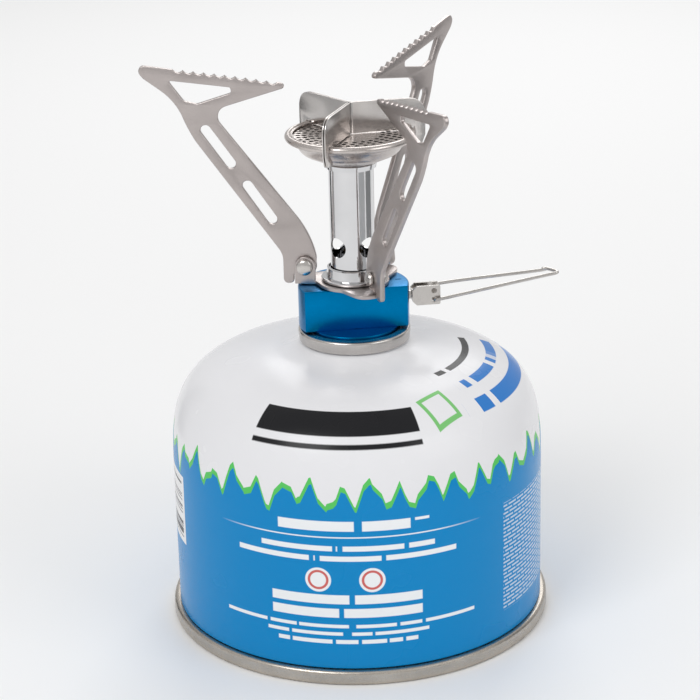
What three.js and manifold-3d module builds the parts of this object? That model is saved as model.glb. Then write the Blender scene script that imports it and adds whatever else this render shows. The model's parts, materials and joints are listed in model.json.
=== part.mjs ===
// A folding gas stove screwed onto its fuel canister.
// Millimetres, +Z up, origin on the canister's axis at the surface it stands on.
import * as THREE from 'three';
import { mergeVertices } from 'three/addons/utils/BufferGeometryUtils.js';
import Module from 'manifold-3d';

const wasm = await Module();
wasm.setup();

// ---------------------------------------------------------------- driving dimensions
const gap = 0.3;                    // clearance between pieces that touch or run together

// fuel canister
const bodyRadius = 53.2;
const seamOverhang = 1.8;           // how far the base's double seam stands out from the body
const seamHeight = 4.2;
const seamWidth = 2.6;
const canWall = 0.7;
const shoulderStart = 42.5;         // where the straight side turns into the dome
const domeTop = 80.2;
const domeRoundOut = 3.6;           // powers of the dome's rounded-square section
const domeRoundUp = 3.9;
const baseRise = 7.0;               // how far the base is dished up

// valve cup in the top of the canister
const collarRadius = 16.0;
const collarRise = 5.9;             // from the dome's top to the collar's top
const collarSkirt = 3.5;            // height of the rolled collar's outer skirt
const collarRoll = 2.9;             // width of the roll, outside to inside
const cupWall = 0.7;
const gasketThickness = 0.8;
const housingDepth = 12.0;          // from the cup's floor down to the housing's bottom
const housingWall = 1.6;
const housingFloor = 1.4;
const stemDrop = 1.6;               // how far the stem's top lies below the boss's top
const stemFoot = 4.0;               // how far the stem's foot reaches below the cup's floor
const springWire = 0.5;
const springTurns = 5;
const cupDepth = 6.5;               // from the collar's top down to the cup's floor
const flareReach = 9.3;             // where the dome starts to rise to the neck, out from the neck
const flareRise = 2.2;
const bossRadius = 5.5;             // threaded boss that the stove screws onto
const bossHeight = 5.6;
const bossBore = 3.0;
const stemRadius = 1.6;

// valve body, a block with one flat
const blockRadius = 15.7;
const blockHeight = 12.0;
const blockStandoff = 0.4;          // from the collar's top to the block
const blockFlat = 5.7;              // distance of the flat from the axis
const blockYaw = 8.0;               // degrees that the flat and the valve are turned
const ledgeHeight = 5.5;            // round ledge under the block, inside the collar
const sealThickness = 0.6;
const pinRadius = 1.1;              // pin that opens the canister's valve
const passageRadius = 0.6;          // gas passages
const recessRadius = 4.8;           // recess in the block's top for the collar's spigot
const recessDepth = 1.5;
const markLength = 1.7;             // small slot in the block's top
const markWidth = 0.6;
const chamberReach = 1.4;           // inner end of the spindle's bore

// valve spindle and its handle
const spindleRise = 7.5;            // from the block's bottom to the spindle's axis
const spindleRadius = 1.25;
const spindleThreadRadius = 1.45;
const stubRadius = 0.85;            // where the spindle is riveted through the bracket
const glandRadius = 2.9;
const glandLength = 3.6;
const bracketStandoff = 0.9;        // from the block to the bracket
const bracketLength = 8.0;
const bracketTall = 5.6;
const bracketDeep = 4.2;
const bracketSheet = 0.7;
const bracketCorner = 1.2;          // how much of the bracket's inner corners is cut off
const bracketHoleSpacing = 2.6;
const bracketHoleInset = 1.8;       // from the bracket's open end to its holes
const wireDiameter = 1.0;
const handleReach = 36.0;           // from the wire's pivot to the end of its loop
const handleSkew = 2.2;             // how much further the front leg reaches than the rear one
const handleRise = 5.6;             // how far the loop's end stands above the pivot
const handleTipWidth = 4.4;

// base plate with three ears
const plateThickness = 1.0;
const plateCentreRadius = 10.2;
const lobeBeyond = 2.8;             // how far a lobe and its ear reach beyond the rivet
const lobeBack = 6.0;               // width of a lobe behind its support
const earThickness = 1.2;
const earWidth = 5.8;
const lobeCorner = 4.5;
const supportAzimuth = 174.2;       // degrees, the left support; the others stand 120 apart
const supportNames = ['left', 'front', 'rear'];
const restFold = [0, -1.3, 7.0];    // degrees that each support stands in from its drawn place

// supports and their rivets
const armThickness = 1.4;
const pivotRadius = 13.5;           // distance of the rivets from the axis
const pivotRise = 5.3;              // height of the rivets above the block
const rivetRadius = 1.3;
const rivetHeadRadius = 2.35;
const rivetHeadHeight = 1.1;
const teethOuter = [35.4, 56.3];    // ends of the toothed edge, out from and up from the rivet
const teethInner = [6.4, 52.7];
const toothCount = 10;
const toothDepth = 0.75;
const teethCrown = 0.2;             // how far the toothed edge bows up in the middle
const slotWidth = 3.0;
const heelGap = 0.4;                // from the end of a lobe to the support's heel

// burner
const tubeRadius = 6.35;
const tubeWall = 0.6;
const tubeRise = 36.0;              // from the block's top to the tube's top
const airHoleRadius = 2.9;
const airHoleRise = 11.8;
const airHoleCount = 4;
const nutWall = 0.65;
const nutRise = 5.5;
const flangeWidth = 1.7;
const flangeThickness = 1.0;
const rimRadius = 18.2;             // rolled rim of the burner head
const headDepth = 7.2;              // from the tube's top to the middle of the roll
const rimRoll = 1.0;                // the roll's own radius
const headWall = 0.6;
const spigotDepth = 3.0;            // how far the head reaches down into the tube
const screenHoleRadius = 0.5;
const screenRings = [[13.7, 30], [11.2, 26]];   // radius and number of holes
const screenThickness = 0.5;
const ringWidth = 0.7;              // band round the tube's top
const ringHeight = 1.7;

// gas jet in the foot of the tube
const jetRadius = 1.9;
const jetHeadWidth = 0.8;           // how far its head stands out
const jetBore = 0.8;
const jetNozzle = 0.3;
const jetRoom = 3.2;                // radius of the collar's bore round the jet

// flame leaves, three bent sheets back to back
const leafSheet = 0.35;
const leafOverhang = 3.1;           // how far they reach beyond the rim
const leafRise = 9.3;               // above the middle of the roll
const leafDrop = 4.3;               // below it, under the bowl
const leafCorner = 6.0;
const leafAzimuth = 10.5;           // degrees, first meeting line of two leaves
const leafBend = 1.5;

// ---------------------------------------------------------------- heights and radii that follow
const seamRadius = bodyRadius + seamOverhang;
const neckTopRadius = collarRadius - cupWall - 2 * gap;
const collarTop = domeTop + collarRise;
const cupFloor = collarTop - cupDepth;
const bossTop = cupFloor + bossHeight;
const blockBottom = collarTop + blockStandoff;
const blockTop = blockBottom + blockHeight;
const spindleHeight = blockBottom + spindleRise;
const bracketStart = blockRadius + bracketStandoff;
const pivotHeight = blockTop + pivotRise;
const lobeReach = pivotRadius + lobeBeyond;
const tubeTop = blockTop + tubeRise;
const nutRadius = tubeRadius + gap + nutWall;
const nutTop = blockTop + nutRise;
const flangeRadius = nutRadius + flangeWidth;
const rimHeight = tubeTop + headDepth;
const leafReach = rimRadius + leafOverhang;
const leafTop = rimHeight + leafRise;
const leafFoot = rimHeight - leafDrop;

// ---------------------------------------------------------------- materials
const metal = (color, roughness) => new THREE.MeshStandardMaterial({ color, roughness, metalness: 1 });
const coat = (color, roughness) => new THREE.MeshStandardMaterial({ color, roughness, metalness: 0 });
const looks = {
  canPaint: coat(0xe9ecef, 0.3),
  tin: metal(0xb9b3a4, 0.35),
  steel: metal(0xc9c5c0, 0.25),
  polished: metal(0xd8d8da, 0.08),
  titanium: metal(0xb5aba5, 0.38),
  blue: new THREE.MeshStandardMaterial({ color: 0x0a6fb5, roughness: 0.3, metalness: 0.7 }),
  brass: metal(0xb8923e, 0.3),
  rubber: coat(0x1b1b1b, 0.8),
};

// ---------------------------------------------------------------- helpers
const radians = THREE.MathUtils.degToRad;

// A closed geometry as a solid that can be joined and cut.
function solid(geometry) {
  const bare = geometry.clone();
  bare.deleteAttribute('normal');
  bare.deleteAttribute('uv');
  const merged = mergeVertices(bare, 1e-4);
  return new wasm.Manifold(new wasm.Mesh({
    numProp: 3,
    vertProperties: merged.attributes.position.array,
    triVerts: new Uint32Array(merged.index.array),
  }));
}

// A solid back as a geometry that three.js can show.
function geometryOf(body) {
  const mesh = body.getMesh();
  const geometry = new THREE.BufferGeometry();
  geometry.setAttribute('position', new THREE.BufferAttribute(mesh.vertProperties, 3));
  geometry.setIndex(new THREE.BufferAttribute(mesh.triVerts, 1));
  geometry.computeVertexNormals();
  return geometry;
}

// Turns a closed profile of [radius, height] points about +Z, with its faces outwards.
function turned(profile, segments = 40) {
  const area = profile.reduce((sum, [r, z], i) => {
    const [nextR, nextZ] = profile[(i + 1) % profile.length];
    return sum + r * nextZ - nextR * z;
  }, 0);
  const ordered = area > 0 ? profile : [...profile].reverse();
  const points = ordered.map(([r, z]) => new THREE.Vector2(r, z));
  points.push(points[0].clone());
  return new THREE.LatheGeometry(points, segments).rotateX(Math.PI / 2);
}

// A round bar or hole along +Z between two heights.
function bar(radius, low, high, segments = 24) {
  return new THREE.CylinderGeometry(radius, radius, high - low, segments)
    .rotateX(Math.PI / 2)
    .translate(0, 0, (low + high) / 2);
}

// A round bar along +X between two distances from the axis, at the spindle's height.
function barOut(radius, near, far, segments = 20) {
  return new THREE.CylinderGeometry(radius, radius, far - near, segments)
    .rotateZ(-Math.PI / 2)
    .translate((near + far) / 2, 0, spindleHeight);
}

// A flat outline of radius and height, given thickness across Y from one side to the other.
function upright(shape, from, to, curveSegments = 6) {
  return new THREE.ExtrudeGeometry(shape, { depth: to - from, bevelEnabled: false, curveSegments })
    .rotateX(Math.PI / 2)
    .translate(0, to, 0);
}

// A polygon with each corner rounded by its own radius; corners are [x, y, radius].
function roundedOutline(corners, target = new THREE.Shape()) {
  const at = (i) => new THREE.Vector2(...corners[(i + corners.length) % corners.length].slice(0, 2));
  corners.forEach(([x, y, radius = 0], i) => {
    const here = new THREE.Vector2(x, y);
    const before = at(i - 1).sub(here);
    const after = at(i + 1).sub(here);
    const longest = Math.min(before.length(), after.length()) / 2;
    const reach = Math.min(radius / Math.tan(before.angleTo(after) / 2), longest);
    const start = here.clone().addScaledVector(before.normalize(), reach);
    const end = here.clone().addScaledVector(after.normalize(), reach);
    if (i === 0) target.moveTo(start.x, start.y);
    else target.lineTo(start.x, start.y);
    if (reach > 0) target.quadraticCurveTo(x, y, end.x, end.y);
  });
  target.closePath();
  return target;
}

const model = new THREE.Group();

// Adds a named piece; turn is its rotation about the main axis in degrees.
function add(name, shape, material, turn = 0, parent = model) {
  const geometry = shape instanceof THREE.BufferGeometry ? shape : geometryOf(shape);
  const mesh = new THREE.Mesh(geometry, material);
  mesh.name = name;
  mesh.rotation.z = radians(turn);
  parent.add(mesh);
  return mesh;
}

// ---------------------------------------------------------------- canister
// Height of the dome at a radius: a rounded-square section with a flare up to the neck.
function domeHeight(radius, shrink = 0) {
  const across = 1 - (radius / (bodyRadius - shrink)) ** domeRoundOut;
  const height = shoulderStart + (domeTop - shrink - shoulderStart) * across ** (1 / domeRoundUp);
  const flare = Math.max(0, neckTopRadius + flareReach - radius) / flareReach;
  return height + flareRise * flare ** 2;
}

// The dome as profile points from the straight side to the neck.
function domeProfile(shrink, innerRadius, steps = 10) {
  const points = [];
  for (let i = 0; i <= steps; i += 1) {
    const share = Math.sin((i / steps) * (Math.PI / 2));
    const radius = innerRadius + (bodyRadius - shrink - innerRadius) * Math.sqrt(1 - share ** 2);
    points.push([radius, domeHeight(radius, shrink)]);
  }
  return points;
}

const gasketTop = collarTop - cupWall - 0.9;
const neckTop = gasketTop - gasketThickness - gap;
const neckInside = neckTopRadius - canWall;
const seamInside = seamRadius - seamWidth;

function canisterShell() {
  const outside = [[bodyRadius, seamHeight + gap], ...domeProfile(0, neckTopRadius)];
  const inside = [[bodyRadius - canWall, seamHeight + gap], ...domeProfile(canWall, neckInside)];
  return turned([...outside, [neckTopRadius, neckTop], [neckInside, neckTop], ...inside.reverse()]);
}

function canisterBase() {
  const lip = 0.8;
  const fit = bodyRadius - canWall - gap;
  return turned([
    [seamInside, 0], [seamRadius - lip, 0], [seamRadius, lip], [seamRadius, seamHeight - lip],
    [seamRadius - lip, seamHeight], [fit, seamHeight], [fit - 1, seamHeight + 2],
    [30, baseRise + canWall - 1], [0, baseRise + canWall], [0, baseRise], [30, baseRise - 1],
    [seamInside - 2, seamHeight + 1], [seamInside, seamHeight - lip],
  ]);
}

function valveCup() {
  const inner = collarRadius - collarRoll;
  const skirtBottom = collarTop - collarSkirt;
  return turned([
    [collarRadius, skirtBottom], [collarRadius, collarTop - 1.2], [collarRadius - 0.5, collarTop - 0.4],
    [collarRadius - 1.4, collarTop], [inner + 0.9, collarTop - 0.3], [inner, collarTop - 1.3],
    [inner, cupFloor + 1], [inner - 1, cupFloor], [bossRadius + 1, cupFloor], [bossRadius, cupFloor + 1],
    [bossRadius, bossTop - 0.6], [bossRadius - 0.6, bossTop], [bossBore, bossTop],
    [bossBore, cupFloor - cupWall], [inner + cupWall - 1, cupFloor - cupWall],
    [inner + cupWall, cupFloor + 1], [inner + cupWall, collarTop - 1.3],
    [inner + 1.2, collarTop - 1], [collarRadius - cupWall - 0.4, collarTop - cupWall - 0.3],
    [collarRadius - cupWall, collarTop - 1.4], [collarRadius - cupWall, skirtBottom],
  ], 28);
}

const stemTop = bossTop - stemDrop;
const stemBottom = cupFloor - stemFoot;
const housingTop = cupFloor - cupWall - gap;
const housingBottom = cupFloor - housingDepth;
const springBottom = housingBottom + housingFloor + springWire;
const sealTop = stemTop - 0.8;
const sealBottom = sealTop - 1.2;

add('canister_shell', canisterShell(), looks.canPaint);
add('canister_base', canisterBase(), looks.tin);
add('valve_cup', valveCup(), looks.steel);
add('cup_gasket', turned([
  [neckInside + 0.1, neckTop + gap], [neckTopRadius - 0.1, neckTop + gap],
  [neckTopRadius - 0.1, gasketTop], [neckInside + 0.1, gasketTop],
], 28), looks.rubber);
add('valve_housing', turned([
  [bossBore + housingWall, housingBottom], [bossBore + housingWall, housingTop],
  [bossBore, housingTop], [bossBore, housingBottom + housingFloor],
  [1, housingBottom + housingFloor], [1, housingBottom],
], 24), looks.brass);
add('stem_gasket', turned([
  [stemRadius + gap, sealBottom], [bossBore - gap, sealBottom],
  [bossBore - gap, sealTop], [stemRadius + gap, sealTop],
], 24), looks.rubber);
add('valve_stem', turned([
  [0, stemBottom], [bossBore - 0.8, stemBottom], [bossBore - 0.8, cupFloor - 1],
  [stemRadius, cupFloor], [stemRadius, stemTop], [0, stemTop],
], 20), looks.steel);

// A coil spring: a round wire along a helix, with a few turns.
function coilSpring(radius, wire, low, high, turns) {
  class Helix extends THREE.Curve {
    getPoint(t, target = new THREE.Vector3()) {
      const angle = 2 * Math.PI * turns * t;
      return target.set(radius * Math.cos(angle), radius * Math.sin(angle), low + (high - low) * t);
    }
  }
  const section = new THREE.Shape().absarc(0, 0, wire / 2, 0, 2 * Math.PI);
  return new THREE.ExtrudeGeometry(section, {
    steps: turns * 10, curveSegments: 3, bevelEnabled: false, extrudePath: new Helix(),
  });
}
add('valve_spring', coilSpring(
  bossBore - springWire / 2 - gap, springWire, springBottom, stemBottom - springWire, springTurns,
), looks.steel);

// ---------------------------------------------------------------- stove body
const ledgeRadius = collarRadius - collarRoll - gap;
const ledgeBottom = blockBottom - ledgeHeight;
const socketTop = blockBottom - 0.1;
const pinHead = socketTop + 1.0;
const glandNear = blockRadius - 0.5 - glandLength;
const recessFloor = blockTop - recessDepth;

function valveBody() {
  const round = solid(turned([
    [0, ledgeBottom], [ledgeRadius, ledgeBottom], [ledgeRadius, blockBottom], [blockRadius, blockBottom],
    [blockRadius, blockTop - 0.5], [blockRadius - 0.5, blockTop], [0, blockTop],
  ]));
  const flat = new THREE.BoxGeometry(4 * blockRadius, blockRadius, blockHeight + 1)
    .translate(0, -blockFlat - blockRadius / 2, blockBottom + (blockHeight + 1) / 2);
  const mark = new THREE.BoxGeometry(markLength, markWidth, 1).translate(blockRadius - 2.7, 0.8, blockTop);
  return [
    flat, mark,
    bar(bossRadius + gap, ledgeBottom - 1, socketTop),
    bar(pinRadius + gap, socketTop - 1, pinHead + gap, 16),
    bar(passageRadius, socketTop - 1, spindleHeight, 10).translate(chamberReach + 1, 0, 0),
    barOut(spindleThreadRadius + gap, chamberReach, blockRadius),
    barOut(passageRadius, 0, chamberReach + 1, 10),
    barOut(glandRadius + gap, glandNear - gap, blockRadius + 1),
    bar(passageRadius, spindleHeight, blockTop, 10),
    bar(jetRadius + gap, recessFloor - 2 * gap, blockTop, 16),
    bar(recessRadius, recessFloor, blockTop + 1),
  ].reduce((body, cut) => body.subtract(solid(cut)), round);
}

add('valve_body', valveBody(), looks.blue, blockYaw);
add('thread_seal', turned([
  [stemRadius + gap, bossTop + gap], [bossRadius, bossTop + gap],
  [bossRadius, bossTop + gap + sealThickness], [stemRadius + gap, bossTop + gap + sealThickness],
], 24), looks.rubber);
add('opener_pin', bar(pinRadius, stemTop + gap, pinHead, 16), looks.brass);

// ---------------------------------------------------------------- base plate and collar
const plateBottom = blockTop + gap;
const plateTop = plateBottom + plateThickness;
const earNear = armThickness / 2 + gap;
const earFar = earNear + earThickness;
const rivetHole = rivetRadius + gap;

// One lobe of the plate as a flat shape, with its support's radius along +X.
function lobe() {
  const outline = roundedOutline([
    [0, -lobeBack - 1, 0], [lobeReach / 2, -lobeBack - 1, 5], [lobeReach, -lobeBack + 1, lobeCorner],
    [lobeReach, earFar, 0], [lobeReach - earWidth, earFar, 0], [lobeReach - earWidth, earFar + 0.8, 0.3],
    [0, 7.5, 0],
  ]);
  return new THREE.ExtrudeGeometry(outline, { depth: plateThickness, bevelEnabled: false, curveSegments: 5 })
    .translate(0, 0, plateBottom);
}

// The ear that stands up from a lobe, with its rivet hole.
function ear() {
  const half = earWidth / 2;
  const middle = lobeReach - half;
  const outline = new THREE.Shape();
  outline.moveTo(middle - half, plateBottom);
  outline.lineTo(middle + half, plateBottom);
  outline.lineTo(middle + half, pivotHeight);
  outline.absarc(middle, pivotHeight, half, 0, Math.PI);
  outline.closePath();
  outline.holes.push(new THREE.Path().absarc(pivotRadius, pivotHeight, rivetHole, 0, 2 * Math.PI, true));
  return upright(outline, earNear, earFar, 6);
}

const plateHole = recessRadius - 0.1;
function basePlate() {
  let body = solid(bar(plateCentreRadius, plateBottom, plateTop, 36));
  supportNames.forEach((_, i) => {
    const turn = radians(supportAzimuth + 120 * i);
    body = body.add(solid(lobe().rotateZ(turn))).add(solid(ear().rotateZ(turn)));
  });
  return body.subtract(solid(bar(plateHole, plateBottom - 1, plateTop + 1)));
}

const flangeBottom = plateTop + gap;
const flangeTop = flangeBottom + flangeThickness;
const tubeFoot = flangeTop + 0.6;

function tubeCollar() {
  const spigot = plateHole - gap;
  return turned([
    [spigot, recessFloor + gap], [spigot, flangeBottom], [flangeRadius, flangeBottom],
    [flangeRadius, flangeTop], [nutRadius + 0.4, flangeTop], [nutRadius, flangeTop + 0.5],
    [nutRadius, nutTop - 0.4], [nutRadius - 0.3, nutTop], [tubeRadius + gap, nutTop],
    [tubeRadius + gap, tubeFoot - gap], [jetRoom, tubeFoot - gap], [jetRoom, recessFloor + gap],
  ], 28);
}

function gasJet() {
  const bottom = recessFloor - gap;
  const top = tubeFoot - 0.2;
  const head = jetRadius + jetHeadWidth;
  return turned([
    [jetRadius, bottom], [jetRadius, blockTop], [head, blockTop + 0.4], [head, top - 0.8],
    [jetRadius - 0.5, top], [jetNozzle, top], [jetNozzle, top - 0.8], [jetBore, top - 1.2], [jetBore, bottom],
  ], 18);
}

add('base_plate', basePlate(), looks.titanium);
add('tube_collar', tubeCollar(), looks.polished);
add('gas_jet', gasJet(), looks.brass);

// ---------------------------------------------------------------- burner
function burnerTube() {
  const inside = tubeRadius - tubeWall;
  let pipe = solid(turned([
    [inside, tubeFoot], [tubeRadius, tubeFoot], [tubeRadius, tubeTop], [inside, tubeTop],
  ], 28));
  for (let i = 0; i < airHoleCount; i += 1) {
    const hole = bar(airHoleRadius, 0, 2 * tubeRadius, 14)
      .rotateY(Math.PI / 2)
      .rotateZ(radians(45 + (360 / airHoleCount) * i))
      .translate(0, 0, blockTop + airHoleRise);
    pipe = pipe.subtract(solid(hole));
  }
  return pipe;
}

const neckRadius = tubeRadius - tubeWall - gap;
const screenHeight = rimHeight - 0.35;
const screenRadius = rimRadius - 2 * rimRoll + gap;

// The head: a spigot in the tube, a bowl, and a rim rolled over the screen's edge.
function burnerHead() {
  const bowl = tubeTop + gap;
  const spigot = tubeTop - spigotDepth;
  const over = screenHeight + screenThickness + gap;
  const rim = [];
  for (let i = 0; i < 7; i += 1) {
    const angle = radians(-70 + 30 * i);
    rim.push([rimRadius - rimRoll + rimRoll * Math.cos(angle), rimHeight + rimRoll * Math.sin(angle)]);
  }
  return turned([
    [neckRadius, spigot], [neckRadius, bowl], [tubeRadius + 2.15, bowl],
    [rimRadius - 4.2, bowl + 3.7], [rimRadius - 1.3, bowl + 5.2],
    ...rim, [screenRadius - 0.6, rimHeight + rimRoll * 0.75], [screenRadius - 0.6, over],
    [screenRadius + gap, over], [screenRadius + gap, screenHeight - gap],
    [screenRadius - 0.7, screenHeight - gap], [screenRadius - 0.9, screenHeight - 0.8],
    [rimRadius - 4.5, bowl + 4.4], [tubeRadius + 1.85, bowl + headWall],
    [neckRadius - headWall, bowl + headWall], [neckRadius - headWall, spigot],
  ], 32);
}

// The perforated screen: a flat disc with rings of small holes, each ring turned half a step.
function burnerScreen() {
  const disc = new THREE.Shape().absarc(0, 0, screenRadius, 0, 2 * Math.PI);
  screenRings.forEach(([radius, count], ring) => {
    for (let i = 0; i < count; i += 1) {
      const angle = (2 * Math.PI * (i + 0.5 * (ring % 2))) / count;
      const x = radius * Math.cos(angle);
      const y = radius * Math.sin(angle);
      disc.holes.push(new THREE.Path(Array.from({ length: 6 }, (_, k) => {
        const turn = angle - (Math.PI / 3) * k;
        return new THREE.Vector2(x + screenHoleRadius * Math.cos(turn), y + screenHoleRadius * Math.sin(turn));
      })));
    }
  });
  return new THREE.ExtrudeGeometry(disc, { depth: screenThickness, bevelEnabled: false, curveSegments: 32 })
    .translate(0, 0, screenHeight);
}

const ringInside = tubeRadius + gap;
const ringTop = tubeTop - 0.1;
add('burner_tube', burnerTube(), looks.polished);
add('tube_ring', turned([
  [ringInside, ringTop - ringHeight], [ringInside + ringWidth, ringTop - ringHeight],
  [ringInside + ringWidth, ringTop], [ringInside, ringTop],
], 28), looks.polished);
add('burner_head', burnerHead(), looks.titanium);
add('burner_screen', burnerScreen(), looks.titanium);

// One wing of a leaf: it stands on the screen, straddles the rim and hooks in under the bowl.
function wingOutline() {
  const foot = screenHeight + screenThickness + gap;
  const rimInside = rimRadius - 2 * rimRoll - 1.4;
  const rimOver = rimHeight + rimRoll + gap;
  const under = tubeTop + 4.1;
  return roundedOutline([
    [-1, foot, 0], [rimInside, foot, 0], [rimInside, rimOver, 0.3], [rimRadius + gap, rimOver, 0.3],
    [rimRadius + gap, rimHeight - rimRoll, 0.5], [rimRadius - 2, under, 0], [rimRadius - 2.6, leafFoot, 0.4],
    [leafReach - 1.2, leafFoot, 1.6], [leafReach, rimHeight - rimRoll, 1], [leafReach, leafTop, leafCorner],
    [-1, leafTop, 0],
  ]);
}

// A leaf in plan: two straight wings 120 degrees apart and a round bend, with +X between them.
function leafPlan() {
  const near = gap / 2;
  const far = near + leafSheet;
  const sine = Math.sin(Math.PI / 3);
  const cosine = Math.cos(Math.PI / 3);
  const centre = (near + leafBend) / sine;
  const along = centre * cosine;
  const onWing = (distance, side) => [distance * cosine + side * sine, distance * sine - side * cosine];
  const plan = new THREE.Shape();
  plan.moveTo(...onWing(leafReach, near));
  plan.lineTo(...onWing(along, near));
  plan.absarc(centre, 0, leafBend, radians(150), radians(210), false);
  const low = onWing(leafReach, near);
  const lowFar = onWing(leafReach, far);
  plan.lineTo(low[0], -low[1]);
  plan.lineTo(lowFar[0], -lowFar[1]);
  const back = onWing(along, far);
  plan.lineTo(back[0], -back[1]);
  plan.absarc(centre, 0, leafBend - leafSheet, radians(210), radians(150), true);
  plan.lineTo(...lowFar);
  plan.closePath();
  return plan;
}

function flameLeaf() {
  const strip = new THREE.ExtrudeGeometry(leafPlan(), {
    depth: leafTop - leafFoot + 2, bevelEnabled: false, curveSegments: 5,
  }).translate(0, 0, leafFoot - 1);
  const wing = upright(wingOutline(), -leafBend - 1, leafBend + 1, 6);
  const cutter = solid(wing.clone().rotateZ(Math.PI / 3)).add(solid(wing.rotateZ(-Math.PI / 3)));
  return solid(strip).intersect(cutter);
}

for (let i = 0; i < 3; i += 1) {
  add('flame_leaf_' + (i + 1), flameLeaf(), looks.titanium, leafAzimuth + 60 + 120 * i);
}

// ---------------------------------------------------------------- pot supports
// The support's outline about its rivet, with a toothed top edge.
function supportOutline() {
  const along = (share) => [
    teethOuter[0] + (teethInner[0] - teethOuter[0]) * share,
    teethOuter[1] + (teethInner[1] - teethOuter[1]) * share + teethCrown * Math.sin(Math.PI * share),
  ];
  const heel = lobeBeyond + heelGap;
  const outline = new THREE.Shape();
  outline.moveTo(...teethOuter);
  for (let i = 0; i < toothCount; i += 1) {
    const valley = along((i + 0.5) / toothCount);
    const peak = along((i + 1) / toothCount);
    outline.quadraticCurveTo(valley[0], valley[1] - 2 * toothDepth, ...peak);
  }
  outline.quadraticCurveTo(4.4, 52.6, 4.5, 51.6);           // blunt inner tip
  outline.quadraticCurveTo(4.6, 51.0, 5.5, 50.8);
  outline.lineTo(20.7, 46.0);                               // underside of the head
  outline.quadraticCurveTo(23.1, 45.2, 23.2, 42.8);
  outline.quadraticCurveTo(23.2, 41.8, 22.5, 40.9);
  outline.lineTo(1.6, 13.8);                                // inner edge of the shank
  outline.quadraticCurveTo(-2.1, 8.6, -3.3, 2.6);
  outline.absarc(0, 0, 3.3, radians(165), radians(300), false);
  outline.lineTo(heel, -2.8);                               // heel that stops against the lobe
  outline.lineTo(heel, -4.2);
  outline.quadraticCurveTo(heel + 0.1, -5.3, heel + 1.5, -5.3);
  outline.quadraticCurveTo(heel + 2.9, -5.3, heel + 3.0, -4.0);
  outline.lineTo(heel + 3.0, 1.4);
  outline.quadraticCurveTo(heel + 3.0, 3.2, 7.3, 4.8);
  outline.lineTo(29.5, 35.7);                               // outer edge of the shank
  outline.quadraticCurveTo(31.7, 39.2, 33.3, 43.5);
  outline.quadraticCurveTo(35.3, 47.8, 39.1, 50.5);
  outline.lineTo(43.3, 53.5);
  outline.quadraticCurveTo(45.1, 55.1, 44.7, 56.2);         // round outer tip
  outline.quadraticCurveTo(44.4, 57.4, 43.1, 57.3);
  outline.closePath();
  return outline;
}

// A straight slot with round ends, between two end points of its centre line.
function slotHole(from, to, width) {
  const along = Math.atan2(to[1] - from[1], to[0] - from[0]);
  const path = new THREE.Path();
  path.absarc(to[0], to[1], width / 2, along + Math.PI / 2, along - Math.PI / 2, true);
  path.absarc(from[0], from[1], width / 2, along - Math.PI / 2, along - (3 * Math.PI) / 2, true);
  path.closePath();
  return path;
}

function supportPlate() {
  const outline = supportOutline();
  outline.holes.push(roundedOutline([
    [36.8, 53.2, 0.6], [32.5, 47.4, 1.2], [28.9, 46.6, 2.0], [19.1, 49.8, 0.8], [19.4, 51.3, 0.6],
  ], new THREE.Path()));
  outline.holes.push(slotHole([26.7, 39.1], [20.1, 29.7], slotWidth));
  outline.holes.push(slotHole([15.5, 23.2], [9.0, 13.6], slotWidth));
  outline.holes.push(new THREE.Path().absarc(0, 0, rivetHole, 0, 2 * Math.PI, true));
  return upright(outline, -armThickness / 2, armThickness / 2, 3);
}

// A rivet across a support and its ear, with its axis along Y.
function supportRivet() {
  const headFoot = earFar + gap;
  const tail = -armThickness / 2 - gap;
  return turned([
    [0, tail - 0.9], [1.6, tail - 0.9], [1.9, tail - 0.5], [1.9, tail], [rivetRadius, tail],
    [rivetRadius, headFoot], [rivetHeadRadius, headFoot], [rivetHeadRadius, headFoot + 0.3],
    [rivetHeadRadius * 0.7, headFoot + rivetHeadHeight * 0.8], [0, headFoot + rivetHeadHeight],
  ], 14).rotateX(-Math.PI / 2).translate(pivotRadius, 0, pivotHeight);
}

supportNames.forEach((name, i) => {
  const arm = new THREE.Group();
  arm.rotation.z = radians(supportAzimuth + 120 * i);
  model.add(arm);
  const fold = new THREE.Group();
  fold.position.set(pivotRadius, 0, pivotHeight);
  fold.rotation.y = radians(-restFold[i]);
  arm.add(fold);
  add(name + '_support', supportPlate(), looks.titanium, 0, fold);
  add(name + '_rivet', supportRivet(), looks.steel, 0, arm);
});

// ---------------------------------------------------------------- valve spindle and handle
const handleGroup = new THREE.Group();
handleGroup.rotation.z = radians(blockYaw);
model.add(handleGroup);

// A turned piece along +X at the spindle's height; profile points are [distance, radius].
function turnedOut(profile, segments = 16) {
  return turned(profile.map(([x, r]) => [r, x]), segments)
    .rotateY(Math.PI / 2)
    .translate(0, 0, spindleHeight);
}

const stubEnd = bracketStart + bracketSheet + gap + 0.8;
const stubHead = bracketDeep / 2 - bracketSheet - 0.2;
const glandFar = glandNear + glandLength;
const grooveFar = glandNear - 2.9;  // groove in the spindle that holds its seal
const grooveNear = grooveFar - 2.2;
const grooveRadius = 0.9;
add('spindle', turnedOut([
  [chamberReach - 0.5, 0], [chamberReach + 0.3, 0.5], [chamberReach + 0.5, spindleThreadRadius],
  [grooveNear, spindleThreadRadius], [grooveNear, grooveRadius], [grooveFar, grooveRadius],
  [grooveFar, spindleRadius], [bracketStart - gap, spindleRadius], [bracketStart - gap, stubRadius],
  [stubEnd - 0.8, stubRadius], [stubEnd - 0.8, stubHead], [stubEnd, stubHead - 0.2], [stubEnd, 0],
]), looks.steel, 0, handleGroup);
add('spindle_seal', turnedOut([
  [grooveNear + 0.4, grooveRadius + 0.15], [grooveFar - 0.4, grooveRadius + 0.15],
  [grooveFar - 0.4, spindleThreadRadius + 0.15], [grooveNear + 0.4, spindleThreadRadius + 0.15],
]), looks.rubber, 0, handleGroup);
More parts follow.
